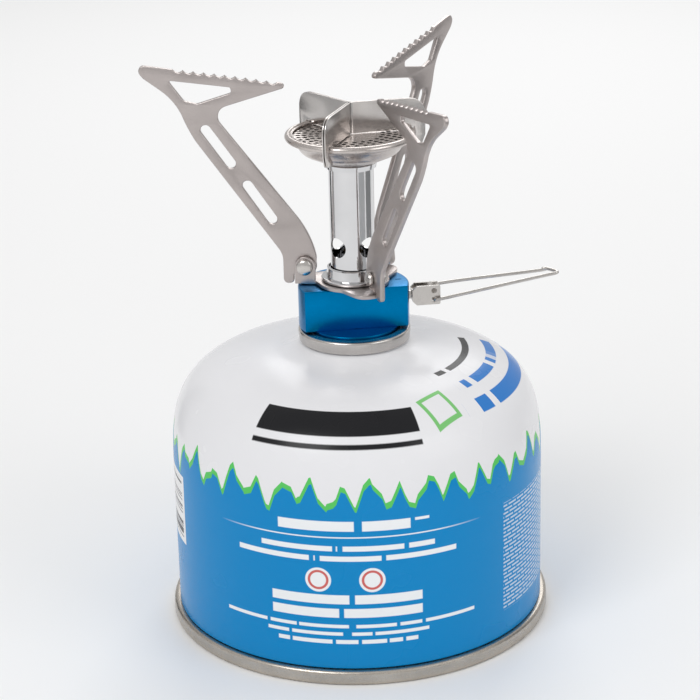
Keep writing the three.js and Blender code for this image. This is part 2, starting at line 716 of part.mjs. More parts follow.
add('gland_nut', turnedOut([
  [glandNear, spindleRadius + gap], [glandFar, spindleRadius + gap], [glandFar, glandRadius - 0.4],
  [glandFar - 0.4, glandRadius], [glandNear, glandRadius],
], 24), looks.brass, 0, handleGroup);

const bracketHole = wireDiameter / 2 + gap;
const bracketEnd = bracketStart + bracketLength;
const pivotOut = bracketEnd - bracketHoleInset;
const wirePivot = spindleHeight - bracketHoleSpacing / 2;

// A sheet U: a web across the spindle and two side plates with cut corners and two holes each.
function handleBracket() {
  const half = bracketTall / 2;
  const side = roundedOutline([
    [bracketStart + bracketCorner, spindleHeight - half, 0], [bracketEnd, spindleHeight - half, 0.5],
    [bracketEnd, spindleHeight + half, 0.5], [bracketStart + bracketCorner, spindleHeight + half, 0],
    [bracketStart, spindleHeight + half - bracketCorner, 0],
    [bracketStart, spindleHeight - half + bracketCorner, 0],
  ]);
  [-1, 1].forEach((sign) => {
    const height = spindleHeight + (sign * bracketHoleSpacing) / 2;
    side.holes.push(new THREE.Path().absarc(pivotOut, height, bracketHole, 0, 2 * Math.PI, true));
  });
  const outer = bracketDeep / 2;
  const web = new THREE.BoxGeometry(bracketSheet, bracketDeep - 0.2, bracketTall - 2 * bracketCorner)
    .translate(bracketStart + bracketSheet / 2, 0, spindleHeight);
  return solid(upright(side, -outer, -outer + bracketSheet, 6))
    .add(solid(upright(side, outer - bracketSheet, outer, 6)))
    .add(solid(web))
    .subtract(solid(barOut(stubRadius + gap, bracketStart - 1, bracketStart + bracketSheet + 1)));
}
add('handle_bracket', handleBracket(), looks.steel, 0, handleGroup);

// The wire: two feet turned in through the bracket's holes, two legs and a narrow loop.
function wireHandle() {
  const foot = bracketDeep / 2 + gap + wireDiameter / 2;
  const inner = bracketDeep / 2 - bracketSheet - 0.1;
  const tip = pivotOut + handleReach;
  const rise = wirePivot + handleRise;
  const half = handleTipWidth / 2;
  const corner = wireDiameter;
  const leg = (side, lift) => [
    new THREE.Vector3(pivotOut, side * inner, wirePivot),
    new THREE.Vector3(pivotOut, side * (foot - corner), wirePivot),
    new THREE.Vector3(pivotOut + corner * 0.3, side * (foot - corner * 0.3), wirePivot + lift * 0.1),
    new THREE.Vector3(pivotOut + corner, side * foot, wirePivot + 0.2 + lift * 0.5),
    new THREE.Vector3(pivotOut + 3, side * foot, wirePivot + 0.5 + lift),
    new THREE.Vector3(tip - 5, side * (half + 0.1), rise - 0.8 + lift * 0.1),
  ];
  const front = leg(-1, 0);
  const rear = leg(1, bracketHoleSpacing);
  const loop = [
    new THREE.Vector3(tip - 0.9, -half, rise - 0.2),
    new THREE.Vector3(tip, -half + 0.7, rise),
    new THREE.Vector3(tip - handleSkew / 2, 0.2, rise + 0.1),
    new THREE.Vector3(tip - handleSkew, half - 0.6, rise + 0.1),
    new THREE.Vector3(tip - handleSkew - 1, half, rise),
  ];
  const path = new THREE.CatmullRomCurve3([...front, ...loop, ...rear.reverse()], false, 'centripetal');
  const section = new THREE.Shape().absarc(0, 0, wireDiameter / 2, 0, 2 * Math.PI);
  return new THREE.ExtrudeGeometry(section, {
    steps: 48, curveSegments: 4, bevelEnabled: false, extrudePath: path,
  });
}
add('wire_handle', wireHandle(), looks.steel, 0, handleGroup);

export default model;
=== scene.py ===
"""A folding gas stove on its canister: the fine surfaces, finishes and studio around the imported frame."""

import json
import math
from functools import reduce

import bmesh
import bpy
import numpy as np
from bpy.props import FloatProperty, FloatVectorProperty, IntProperty, PointerProperty
from mathutils import Matrix, Vector
from mathutils.geometry import tessellate_polygon


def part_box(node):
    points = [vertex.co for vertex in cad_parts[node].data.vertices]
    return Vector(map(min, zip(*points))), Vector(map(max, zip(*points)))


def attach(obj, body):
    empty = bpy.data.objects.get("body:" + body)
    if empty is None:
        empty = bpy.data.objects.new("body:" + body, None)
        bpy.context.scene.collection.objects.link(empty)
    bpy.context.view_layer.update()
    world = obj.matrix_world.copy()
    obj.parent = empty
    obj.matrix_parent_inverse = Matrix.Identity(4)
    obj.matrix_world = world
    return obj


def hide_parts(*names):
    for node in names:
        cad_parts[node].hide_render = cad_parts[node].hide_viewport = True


bl_info = {
    "name": "Camping stove",
    "version": (1, 0, 0),
    "blender": (4, 5, 0),
    "location": "View3D > Sidebar > Stove",
    "description": "Builds the visible pieces and finishes of a folding gas stove on its canister",
    "category": "Object",
}

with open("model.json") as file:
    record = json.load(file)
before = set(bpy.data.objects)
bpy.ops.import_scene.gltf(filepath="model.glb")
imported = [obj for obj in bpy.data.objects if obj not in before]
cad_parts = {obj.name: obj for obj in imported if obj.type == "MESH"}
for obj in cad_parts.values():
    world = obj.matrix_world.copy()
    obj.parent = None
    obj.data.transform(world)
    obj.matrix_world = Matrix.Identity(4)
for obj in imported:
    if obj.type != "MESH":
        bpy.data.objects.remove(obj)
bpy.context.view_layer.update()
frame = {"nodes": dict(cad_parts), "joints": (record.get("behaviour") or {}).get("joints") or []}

MM = 0.001
GAP = 0.3 * MM                      # clearance between pieces that touch
CAN_WALL = 0.7 * MM                 # sheet of the canister and of its valve cup
NECK_GAP = 0.1 * MM                 # from the cup's gasket to the outside of the can's neck
BORDER_FEATHER = 0.06               # softness of the painted border, in millimetres
TUBE_RADIUS = 6.35 * MM
TUBE_WALL = 0.6 * MM
SPIGOT_RADIUS = 4.4 * MM            # the collar's foot, in the recess of the valve block
PLATE_SHEET = 1.0 * MM
EAR_SHEET = 1.2 * MM
ARM_SHEET = 1.4 * MM
RIVET_HOLE = 1.6 * MM
GRAIN_HEIGHT = 0.06 * MM            # of the metals' bump
TONE_SCALE = 140.0                  # of the metals' slow changes of tone
LEAF_BEARING = 10.5                 # degrees, the first line where two leaves meet
SUPPORTS = ("left", "front", "rear")
REST_LEAN = {"left": 0.0, "front": -1.3, "rear": 7.0}   # degrees that each support leans in at rest


def top(node):
    """Height of a frame node's highest point."""
    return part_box(node)[1].z


def bottom(node):
    """Height of a frame node's lowest point."""
    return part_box(node)[0].z


def reach(node):
    """Largest distance of a frame node from the canister's axis, for a round node."""
    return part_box(node)[1].x


def joint(name):
    """A joint of the record by its name."""
    return next(j for j in frame["joints"] if j["name"] == name)


# ---------------------------------------------------------------- sizes and colours a user would change
class CanisterSettings(bpy.types.PropertyGroup):
    body_radius: FloatProperty(
        name="Body radius", description="Radius of the drawn body", default=reach("canister_shell"),
        unit="LENGTH", precision=5)
    shoulder: FloatProperty(
        name="Shoulder", description="Height where the side turns into the dome", default=42.5 * MM,
        unit="LENGTH", precision=5)
    dome_top: FloatProperty(
        name="Dome top", description="Height of the dome without its neck", default=80.2 * MM,
        unit="LENGTH", precision=5)
    border: FloatProperty(
        name="Border", description="Mean height of the jagged edge between the two paints",
        default=54.8 * MM, unit="LENGTH", precision=5)
    white: FloatVectorProperty(
        name="White", description="Upper enamel", default=(0.80, 0.80, 0.82), subtype="COLOR")
    blue: FloatVectorProperty(
        name="Blue", description="Lower enamel", default=(0.0, 0.235, 0.56), subtype="COLOR")
    green: FloatVectorProperty(
        name="Green", description="Thin edge between them", default=(0.10, 0.56, 0.12), subtype="COLOR")


class StoveSettings(bpy.types.PropertyGroup):
    support_edge: FloatProperty(
        name="Support edge", description="Rounding of a support's edges", default=0.28 * MM,
        unit="LENGTH", precision=5)
    titanium: FloatVectorProperty(
        name="Titanium", description="Supports and base plate", default=(0.49, 0.445, 0.43), subtype="COLOR")
    anodised: FloatVectorProperty(
        name="Anodised", description="Valve body", default=(0.0, 0.20, 0.47), subtype="COLOR")
    screen_rings: IntProperty(
        name="Screen rings", description="Rings of holes in the burner screen", default=4, min=1, max=8)


class StudioSettings(bpy.types.PropertyGroup):
    floor: FloatVectorProperty(
        name="Floor", description="Colour of the floor", default=(0.90, 0.90, 0.90), subtype="COLOR")
    sky: FloatProperty(
        name="Sky", description="Strength of the even light", default=0.60, min=0.0)
    camera_distance: FloatProperty(
        name="Camera distance", description="From the camera to the point that it looks at", default=0.658232,
        unit="LENGTH", precision=4)
    camera_elevation: FloatProperty(
        name="Camera elevation", description="Angle above the horizon", default=math.radians(20.133),
        subtype="ANGLE")


# ---------------------------------------------------------------- outlines
class Outline:
    """A flat outline drawn with lines, curves and arcs, kept as arrays of points."""

    def __init__(self, *start):
        self.points = [np.array([start], float)] if start else []

    def line(self, x, y):
        """A straight line from the last point."""
        self.points.append(np.array([[x, y]], float))
        return self

    def curve(self, cx, cy, x, y, steps=8):
        """A quadratic curve: the start, control and end point weighted by (1-t)^2, 2t(1-t) and t^2."""
        t = np.linspace(0, 1, steps + 1)[1:, None]
        start, control, end = self.points[-1][-1], np.array([cx, cy]), np.array([x, y])
        self.points.append((1 - t) ** 2 * start + 2 * t * (1 - t) * control + t**2 * end)
        return self

    def arc(self, cx, cy, radius, start, end, steps=16):
        """A round arc about a centre, between two angles in degrees."""
        angle = np.radians(np.linspace(start, end, steps + 1))
        self.points.append(np.stack([cx + radius * np.cos(angle), cy + radius * np.sin(angle)], 1))
        return self

    def loop(self):
        """The points of the closed outline, without any that is less than 0.0001 from the one before it."""
        points = np.concatenate(self.points)
        step = np.linalg.norm(points - np.roll(points, 1, 0), axis=1)
        return points[step > 1e-4]


def rounded(corners, steps=6):
    """A closed polygon with each corner replaced by a quadratic curve; corners are (x, y, radius)."""
    corners = [(*c, 0.0)[:3] for c in corners]
    outline = None
    for i, (x, y, radius) in enumerate(corners):
        here = np.array([x, y])
        before = np.array(corners[i - 1][:2]) - here
        after = np.array(corners[(i + 1) % len(corners)][:2]) - here
        long_before, long_after = np.linalg.norm(before), np.linalg.norm(after)
        between = math.acos(np.clip(before @ after / (long_before * long_after), -1, 1))
        most = 0.49 * min(long_before, long_after)
        cut = min(radius / math.tan(between / 2), most) if radius else 0.0
        start, end = here + before / long_before * cut, here + after / long_after * cut
        outline = outline.line(*start) if outline else Outline(*start)
        if cut > 0:
            outline.curve(x, y, *end, steps=steps)
    return outline.loop()


def slot_loop(start, end, width):
    """A straight slot with round ends: two half circles about the two ends of its centre line."""
    along = math.degrees(math.atan2(end[1] - start[1], end[0] - start[0]))
    slot = Outline()
    slot.arc(*end, width / 2, along + 90, along - 90, 12)
    slot.arc(*start, width / 2, along - 90, along - 270, 12)
    return slot.loop()


def ring_loop(x, y, radius, steps=24, turn=0.0):
    """A round hole, run clockwise."""
    angle = turn - np.linspace(0, 2 * np.pi, steps, endpoint=False)
    return np.stack([x + radius * np.cos(angle), y + radius * np.sin(angle)], 1)


# ---------------------------------------------------------------- surfaces
def grid_faces(rows, columns, wrap_rows=False, start=0):
    """Four-sided faces between neighbouring points of a grid whose rows close on themselves."""
    r, c = np.meshgrid(np.arange(rows if wrap_rows else rows - 1), np.arange(columns), indexing="ij")
    nr, nc = (r + 1) % rows, (c + 1) % columns
    faces = np.stack([r * columns + c, r * columns + nc, nr * columns + nc, nr * columns + c], -1)
    return faces.reshape(-1, 4) + start


def make_mesh(name, points, faces, flat=(), sharp=35.0, merge=False):
    """A closed mesh with its faces outwards, smooth except for the faces listed in flat and sharp edges."""
    mesh = bpy.data.meshes.new(name)
    mesh.from_pydata(np.asarray(points, float).tolist(), [], [list(map(int, f)) for f in faces])
    smooth = np.ones(len(mesh.polygons), bool)
    smooth[list(flat)] = False
    mesh.polygons.foreach_set("use_smooth", smooth)
    shape = bmesh.new()
    shape.from_mesh(mesh)
    if merge:
        bmesh.ops.remove_doubles(shape, verts=shape.verts, dist=1e-7)
    bmesh.ops.recalc_face_normals(shape, faces=shape.faces)
    shape.to_mesh(mesh)
    shape.free()
    mesh.set_sharp_from_angle(angle=math.radians(sharp))
    obj = bpy.data.objects.new(name, mesh)
    bpy.context.scene.collection.objects.link(obj)
    return obj


def turned(name, profile, segments=96, sharp=35.0, place=None):
    """A closed profile of radius and height turned about the upright axis: x and y are the radius times the
    cosine and sine of the angle. place is a matrix that puts the shape where it belongs."""
    profile = np.asarray(profile, float)
    angle = np.linspace(0, 2 * np.pi, segments, endpoint=False)
    radius = profile[:, 0][:, None]
    points = np.stack([
        radius * np.cos(angle), radius * np.sin(angle), np.repeat(profile[:, 1][:, None], segments, 1),
    ], -1).reshape(-1, 3)
    points = moved(points, place)
    faces = grid_faces(len(profile), segments, wrap_rows=True)
    return make_mesh(name, points, faces, sharp=sharp, merge=bool((profile[:, 0] < 1e-9).any()))


def moved(points, place):
    """Points carried by a four by four matrix."""
    if place is None:
        return points
    place = np.array(place)
    return points @ place[:3, :3].T + place[:3, 3]


def edge_normals(loop):
    """At each point of a closed loop, the mitred direction that points to the right of its run."""
    ahead = np.roll(loop, -1, 0) - loop
    ahead /= np.linalg.norm(ahead, axis=1)[:, None]
    side = np.stack([ahead[:, 1], -ahead[:, 0]], 1)
    mean = side + np.roll(side, 1, 0)
    mean /= np.linalg.norm(mean, axis=1)[:, None]
    stretch = 1 / np.maximum((mean * side).sum(1), 0.5)
    return mean * stretch[:, None]


def signed_area(loop):
    """Area of a closed loop, positive where it runs anticlockwise."""
    x, y = loop.T
    return 0.5 * float(np.sum(x * np.roll(y, -1) - y * np.roll(x, -1)))


def plate_shape(outer, holes, thickness, edge, rings=4):
    """A flat plate with rounded edges, as points, faces and the indices of its flat faces.
    A quarter circle of the edge radius is carried along every outline: at angle a it stands in by
    edge times (1 - cos a), and below the face by edge times (1 - sin a). The two faces are then filled."""
    loops = [outer if signed_area(outer) > 0 else outer[::-1]]
    loops += [h if signed_area(h) < 0 else h[::-1] for h in holes]
    angle = np.linspace(0, np.pi / 2, rings)
    inset = edge * (1 - np.cos(angle))
    height = thickness / 2 - edge * (1 - np.sin(angle))
    inset = np.concatenate([inset[::-1], inset])
    height = np.concatenate([-height[::-1], height])
    points, faces, starts, count = [], [], [], 0
    for loop in loops:
        normal = edge_normals(loop)
        flat = loop[None] - inset[:, None, None] * normal[None]
        level = np.repeat(height[:, None], len(loop), 1)
        points.append(np.concatenate([flat, level[..., None]], -1).reshape(-1, 3))
        faces += grid_faces(len(height), len(loop), start=count).tolist()
        starts.append(count)
        count += len(height) * len(loop)
    last = len(height) - 1
    every = np.concatenate(points)
    rim = [[Vector((*point, 0)) for point in every[s + last * len(p):s + (last + 1) * len(p), :2]]
           for s, p in zip(starts, loops)]
    order = np.concatenate([s + np.arange(len(p)) for s, p in zip(starts, loops)])
    up = np.concatenate([np.full(len(p), last * len(p)) for p in loops])
    triangles = np.array(tessellate_polygon(rim))
    flat_from = len(faces)
    faces += (order + up)[triangles].tolist()
    faces += order[triangles][:, ::-1].tolist()
    return every, faces, range(flat_from, len(faces))


def plate(name, outer, holes, thickness, edge, place):
    """A plate_shape put in its place; its own x and y are the outline's, and z runs through its thickness."""
    points, faces, flat = plate_shape(outer, holes, thickness, edge)
    return make_mesh(name, moved(points, place), faces, flat=flat)


def swept(name, path, radius, sides=16):
    """A round wire along a path: at each point a circle in the plane across the path's direction."""
    path = np.asarray(path, float)
    ahead = np.gradient(path, axis=0)
    ahead /= np.linalg.norm(ahead, axis=1)[:, None]
    across = np.cross(ahead, (0.0, 0.0, 1.0))
    across /= np.linalg.norm(across, axis=1)[:, None]
    over = np.cross(across, ahead)
    angle = np.linspace(0, 2 * np.pi, sides, endpoint=False)
    ring = across[:, None] * np.cos(angle)[:, None] + over[:, None] * np.sin(angle)[:, None]
    points = (path[:, None] + radius * ring).reshape(-1, 3)
    faces = grid_faces(len(path), sides).tolist()
    faces += [list(range(sides)), list(range((len(path) - 1) * sides, len(path) * sides))]
    return make_mesh(name, points, faces, sharp=50)


def smooth_path(points, steps):
    """A smooth path through the points, by the uniform Catmull and Rom formula, as an array."""
    p = np.asarray(points, float)
    p = np.concatenate([[2 * p[0] - p[1]], p, [2 * p[-1] - p[-2]]])
    share = np.linspace(0, 1, steps, endpoint=False)[None, :, None]
    a, b, c, d = (p[i:len(p) - 3 + i][:, None] for i in range(4))
    curve = 0.5 * (2 * b + (c - a) * share + (2 * a - 5 * b + 4 * c - d) * share**2
                   + (3 * b - a - 3 * c + d) * share**3)
    return np.concatenate([curve.reshape(-1, 3), p[-2:-1]])


def carved(obj, cutters, operation="DIFFERENCE"):
    """The object with each cutter taken out of it, or joined to it; the cutters are removed."""
    for cutter in cutters:
        cut = obj.modifiers.new("cut", "BOOLEAN")
        cut.operation, cut.object, cut.solver = operation, cutter, "EXACT"
    bpy.context.view_layer.update()
    result = bpy.data.meshes.new_from_object(obj.evaluated_get(bpy.context.evaluated_depsgraph_get()))
    obj.modifiers.clear()
    obj.data = result
    result.polygons.foreach_set("use_smooth", np.ones(len(result.polygons), bool))
    result.set_sharp_from_angle(angle=math.radians(30))
    for cutter in cutters:
        bpy.data.objects.remove(cutter)
    return obj


def settle(obj, body, slot, finish, *nodes):
    """Gives a new piece its body and finish, and hides the frame nodes that it stands for. The slot argument
    is not used.
    """
    obj.data.materials.clear()
    obj.data.materials.append(finish)
    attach(obj, body)
    if nodes:
        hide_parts(*nodes)


def dress(finish, *nodes):
    """Gives frame nodes a finish."""
    for node in nodes:
        mesh = frame["nodes"][node].data
        mesh.materials.clear()
        mesh.materials.append(finish)


# ---------------------------------------------------------------- finishes
class Finish:
    """A node material with short calls for the nodes that the finishes use."""

    def __init__(self, name):
        self.material = bpy.data.materials.new(name)
        self.material.use_nodes = True
        self.tree = self.material.node_tree
        self.shader = self.tree.nodes["Principled BSDF"]
        coordinates = self.tree.nodes.new("ShaderNodeTexCoord")
        self.place = coordinates.outputs["Object"]

    def node(self, kind, **values):
        """A new node with some of its own values set."""
        made = self.tree.nodes.new(kind)
        for key, value in values.items():
            setattr(made, key, value)
        return made

    def plug(self, value, socket):
        """Links an output to a socket, or sets the socket to a number or colour."""
        if isinstance(value, bpy.types.NodeSocket):
            self.tree.links.new(value, socket)
        else:
            socket.default_value = value

    def math(self, operation, a, b=0.0, c=0.0):
        """The result of a Math node."""
        made = self.node("ShaderNodeMath", operation=operation)
        for value, socket in zip((a, b, c), made.inputs):
            self.plug(value, socket)
        return made.outputs[0]

    def noise(self, scale, detail=2.0, stretch=(1, 1, 1)):
        """Noise in the object's own metres, drawn out along an axis by stretch."""
        mapping = self.node("ShaderNodeMapping")
        mapping.inputs["Scale"].default_value = stretch
        self.tree.links.new(self.place, mapping.inputs["Vector"])
        made = self.node("ShaderNodeTexNoise")
        made.inputs["Scale"].default_value = scale
        made.inputs["Detail"].default_value = detail
        self.tree.links.new(mapping.outputs[0], made.inputs["Vector"])
        return made.outputs["Fac"]

    def between(self, value, low, high, start=0.3, end=0.7):
        """From low to high as the value goes from start to end, and no further."""
        made = self.node("ShaderNodeMapRange")
        keys = ("Value", "From Min", "From Max", "To Min", "To Max")
        for key, number in zip(keys, (value, start, end, low, high)):
            self.plug(number, made.inputs[key])
        return made.outputs[0]

    def mix(self, share, a, b):
        """Colour a where the share is 0 and colour b where it is 1."""
        made = self.node("ShaderNodeMix", data_type="RGBA")
        self.plug(share, made.inputs["Factor"])
        for value, socket in ((a, made.inputs[6]), (b, made.inputs[7])):
            self.plug(value if isinstance(value, bpy.types.NodeSocket) else (*value, 1.0), socket)
        return made.outputs[2]

    def bump(self, height, strength, distance):
        """Raises the surface by a height, at a strength and over a distance in metres."""
        made = self.node("ShaderNodeBump")
        for key, value in (("Height", height), ("Strength", strength), ("Distance", distance)):
            self.plug(value, made.inputs[key])
        self.tree.links.new(made.outputs[0], self.shader.inputs["Normal"])

    def set(self, **values):
        """Sets the shader's sockets by their names, with _ for a space."""
        for key, value in values.items():
            self.plug(value, self.shader.inputs[key.replace("_", " ")])


def shade(colour, factor):
    """The colour times a factor, at most 1."""
    return tuple(min(1.0, c * factor) for c in colour)


def metal(name, colour, roughness, grain=5000.0, depth=0.10, stretch=(1, 1, 1), vary=0.08):
    """Metal with a fine grain, slow changes of tone and a roughness that follows them."""
    finish = Finish(name)
    slow = finish.noise(TONE_SCALE, 3.0)
    fine = finish.noise(grain, 2.0, stretch)
    tone = finish.mix(finish.between(slow, 0.0, 1.0), shade(colour, 1 - vary), shade(colour, 1 + vary))
    finish.set(Base_Color=tone, Metallic=1.0)
    finish.set(Roughness=finish.between(fine, roughness * 0.8, roughness * 1.25))
    finish.bump(fine, depth, GRAIN_HEIGHT)
    return finish.material


def make_finishes(stove):
    """The finishes that several pieces share, by name. The print and the steels with painted shade are made
    apart.
    """
    return {
        "titanium": metal("blasted_titanium", stove.titanium, 0.34, 7000.0, 0.25, vary=0.05),
        "steel": metal("satin_steel", (0.58, 0.555, 0.53), 0.24, 6000.0, 0.10),
        "tin": metal("satin_tinplate", (0.52, 0.475, 0.42), 0.30, 900.0, 0.08, (1, 1, 8)),
        "polished": metal("polished_steel", (0.70, 0.70, 0.71), 0.06, 1500.0, 0.03, (6, 6, 0.3), 0.03),
        "bright": metal("bright_stainless", (0.66, 0.63, 0.61), 0.20, 5000.0, 0.08, vary=0.05),
        "anodised": metal("blue_anodising", stove.anodised, 0.30, 9000.0, 0.12, vary=0.06),
        "brass": metal("turned_brass", (0.56, 0.36, 0.12), 0.22, 2500.0, 0.10, (1, 1, 6)),
        "rubber": rubber(),
    }


def rubber():
    """Matt black rubber with a moulded grain."""
    finish = Finish("black_rubber")
    fine = finish.noise(4000.0, 3.0)
    black, dust = (0.012, 0.012, 0.013), (0.03, 0.03, 0.03)
    finish.set(Base_Color=finish.mix(finish.between(fine, 0, 1), black, dust))
    finish.set(Roughness=finish.between(fine, 0.65, 0.85))
    finish.bump(fine, 0.3, 0.1 * MM)
    return finish.material


class Print(Finish):
    """The canister's enamel and its printed marks, laid out by angle round the can and by height."""

    def __init__(self, settings):
        super().__init__("printed_enamel")
        self.settings = settings
        parts = self.node("ShaderNodeSeparateXYZ")
        self.tree.links.new(self.place, parts.inputs[0])
        x, y, z = parts.outputs
        self.x, self.y, self.height = (self.math("MULTIPLY", v, 1 / MM) for v in (x, y, z))
        self.turn = self.math("ARCTAN2", x, self.math("MULTIPLY", y, -1.0))
        self.angle = self.math("MULTIPLY", self.turn, 180.0 / math.pi)
        self.radius = self.length(self.x, self.y)

    def inside(self, value, centre, half, soft):
        """1 where the value is within half of the centre, fading over soft."""
        off = self.math("ABSOLUTE", self.math("SUBTRACT", value, centre))
        return self.between(off, 1.0, 0.0, half - soft, half + soft)

    def both(self, *masks):
        """1 where every mask is 1: their product."""
        return reduce(lambda a, b: self.math("MULTIPLY", a, b), masks)

    def either(self, *masks):
        """1 where any mask is 1: the largest of them."""
        return reduce(lambda a, b: self.math("MAXIMUM", a, b), masks)

    def length(self, a, b):
        """The square root of the sum of two squares."""
        squares = self.math("ADD", self.math("MULTIPLY", a, a), self.math("MULTIPLY", b, b))
        return self.math("SQRT", squares)

    def zigzag(self, count, shift):
        """A triangle wave of count teeth round the can, from -1 to 1."""
        place = self.math("ADD", self.math("MULTIPLY", self.turn, count / math.pi), shift)
        wave = self.math("PINGPONG", place, 1.0)
        return self.math("MULTIPLY_ADD", wave, 2.0, -1.0)

    def border(self, shift):
        """Height of the jagged edge: the sum of three triangle waves of different counts."""
        waves = ((41.0, 0.15 + shift, 3.3), (17.0, 0.7, 1.8), (67.0, 0.4 + shift, 1.1))
        parts = (self.math("MULTIPLY", self.zigzag(count, start), size) for count, start, size in waves)
        total = reduce(lambda a, b: self.math("ADD", a, b), parts)
        return self.math("ADD", total, self.settings.border / MM)

    def words(self, across, level, start, end, centre, half, letter):
        """A row of plain bars that stand for words: cells of one letter's width, some of them left empty."""
        row = self.both(
            self.inside(across, (start + end) / 2, (end - start) / 2, 0.10),
            self.inside(level, centre, half, 0.08))
        cell = self.node("ShaderNodeTexWhiteNoise", noise_dimensions="1D")
        count = self.math("FLOOR", self.math("DIVIDE", self.math("SUBTRACT", across, start), letter))
        self.tree.links.new(self.math("ADD", count, centre * 13.7), cell.inputs["W"])
        return self.both(row, self.between(cell.outputs["Value"], 0.0, 1.0, 0.14, 0.15))

    def row(self, level, half, words):
        """A row of plain bars, one for each word, from one bearing to another at a height."""
        bars = [self.inside(self.angle, (start + end) / 2, (end - start) / 2, 0.12) for start, end in words]
        return self.both(self.inside(self.height, level, half, 0.08), self.either(*bars))

    def disc(self, across, level, radius):
        """A round spot on the can's side: 1 within the radius of a bearing and a height."""
        arc = self.math("MULTIPLY", self.math("SUBTRACT", self.angle, across),
                        math.radians(self.settings.body_radius / MM))
        up = self.math("SUBTRACT", self.height, level)
        return self.inside(self.length(arc, up), 0.0, radius, 0.1)


def enamel(settings):
    """White enamel over blue with a jagged green edge, plain printed bars and shapes, under clear gloss."""
    paint = Print(settings)
    height, angle, radius = paint.height, paint.angle, paint.radius
    edge, green_edge = paint.border(0.0), paint.border(0.05)
    blue_area = paint.between(paint.math("SUBTRACT", edge, height), 0.0, 1.0, -BORDER_FEATHER, BORDER_FEATHER)
    green_top = paint.math("SUBTRACT", paint.math("ADD", green_edge, 1.7), height)
    green_area = paint.between(green_top, 0.0, 1.0, -BORDER_FEATHER, BORDER_FEATHER)
    colour = paint.mix(green_area, tuple(settings.white), tuple(settings.green))
    colour = paint.mix(blue_area, colour, tuple(settings.blue))

    rows = (
        (47.2, 1.45, (-24.3, -1.5), (0.9, 15.2)), (48.2, 0.4, (16.6, 21.0)),
        (40.6, 0.75, (-30.0, -8.0), (-6.9, -6.5), (-4.9, 13.2), (14.7, 22.7)),
        (37.6, 0.75, (-38.1, -15.0), (-13.6, -13.2), (-11.7, 6.4), (7.8, 29.8)),
        (25.4, 1.35, (-26.9, -3.3), (-1.6, 18.6)), (21.3, 1.35, (-26.9, -6.4), (-4.9, 18.6)),
        (17.3, 0.5, (-43.6, -29.0), (-27.9, -19.4), (-18.6, -3.6), (-1.4, 10.6), (11.7, 18.4), (19.6, 36.3)),
        (15.0, 0.5, (-28.7, -21.9), (-20.9, -5.4), (-2.7, 3.3), (4.2, 20.6)),
        (12.6, 0.6, (-25.3, -21.7), (-20.8, -8.6), (-7.5, -0.9), (0.2, 7.6), (8.4, 12.4), (13.4, 17.1)))
    def discs(size):
        return paint.either(*(paint.disc(bearing, 31.2, size) for bearing in (-12.4, 3.6)))

    print_white = paint.either(
        *(paint.row(level, half, words) for level, half, *words in rows),
        paint.both(paint.inside(angle, -3.0, 34.0, 8.0), paint.inside(height, 43.9, 0.18, 0.08)),
        discs(3.6))
    lines = paint.between(paint.math("FRACT", paint.math("DIVIDE", height, 1.15)), 1.0, 0.0, 0.40, 0.50)
    line_count = paint.math("FLOOR", paint.math("DIVIDE", height, 1.15))
    ragged = paint.math("ADD", angle, paint.math("MULTIPLY", line_count, 7.3))
    gaps = paint.between(paint.math("FRACT", paint.math("DIVIDE", ragged, 4.7)), 1.0, 0.0, 0.84, 0.86)
    small = paint.both(paint.inside(angle, 66.0, 17.0, 0.1), paint.inside(height, 28.5, 16.5, 0.1), gaps)
    print_white = paint.either(print_white, paint.math("MULTIPLY", paint.both(small, lines), 0.6))
    colour = paint.mix(print_white, colour, (0.86, 0.88, 0.90))
    colour = paint.mix(discs(2.9), colour, (0.62, 0.13, 0.12))
    colour = paint.mix(discs(2.2), colour, (0.86, 0.88, 0.90))

    panel = paint.both(paint.inside(angle, -79.0, 11.0, 0.12), paint.inside(height, 38.0, 10.5, 0.1))
    bars = paint.node("ShaderNodeTexWhiteNoise", noise_dimensions="1D")
    paint.tree.links.new(paint.math("FLOOR", paint.math("DIVIDE", height, 0.36)), bars.inputs["W"])
    bar = paint.both(paint.between(bars.outputs["Value"], 0.0, 1.0, 0.50, 0.51),
                     paint.inside(angle, -79.0, 9.0, 0.1), paint.inside(height, 38.0, 9.2, 0.1))
    colour = paint.mix(panel, colour, (0.84, 0.84, 0.84))
    colour = paint.mix(bar, colour, (0.02, 0.02, 0.03))

    on_top = paint.between(height, 0.0, 1.0, 61.0, 61.5)
    dark = paint.both(on_top, paint.either(
        paint.both(paint.inside(angle, -7.0, 28.0, 0.15), paint.inside(radius, 44.3, 3.2, 0.1)),
        paint.both(paint.inside(angle, -7.0, 28.0, 0.15), paint.inside(radius, 49.3, 0.4, 0.1)),
        paint.words(angle, radius, 45.0, 104.0, 31.5, 1.0, 3.1)))
    colour = paint.mix(dark, colour, (0.012, 0.012, 0.014))
    blue_marks = paint.both(on_top, paint.either(
        paint.words(angle, radius, 46.0, 108.0, 38.8, 1.5, 3.7),
        paint.words(angle, radius, 41.0, 112.0, 45.6, 1.8, 3.3)))
    colour = paint.mix(blue_marks, colour, (0.03, 0.20, 0.58))
    off_x = paint.math("ABSOLUTE", paint.math("SUBTRACT", paint.x, 22.5))
    off_y = paint.math("ABSOLUTE", paint.math("SUBTRACT", paint.y, -36.5))
    diamond = paint.inside(paint.math("ADD", off_x, off_y), 5.6, 0.8, 0.1)
    colour = paint.mix(paint.both(on_top, diamond), colour, (0.20, 0.55, 0.18))

    slow = paint.noise(60.0, 2.0)
    paint.set(Base_Color=colour, Metallic=0.0, Roughness=paint.between(slow, 0.20, 0.30))
    paint.set(Coat_Weight=0.06, Specular_IOR_Level=0.18, Coat_Roughness=0.12)
    paint.bump(paint.noise(900.0, 2.0), 0.02, 0.2 * MM)
    return paint.material


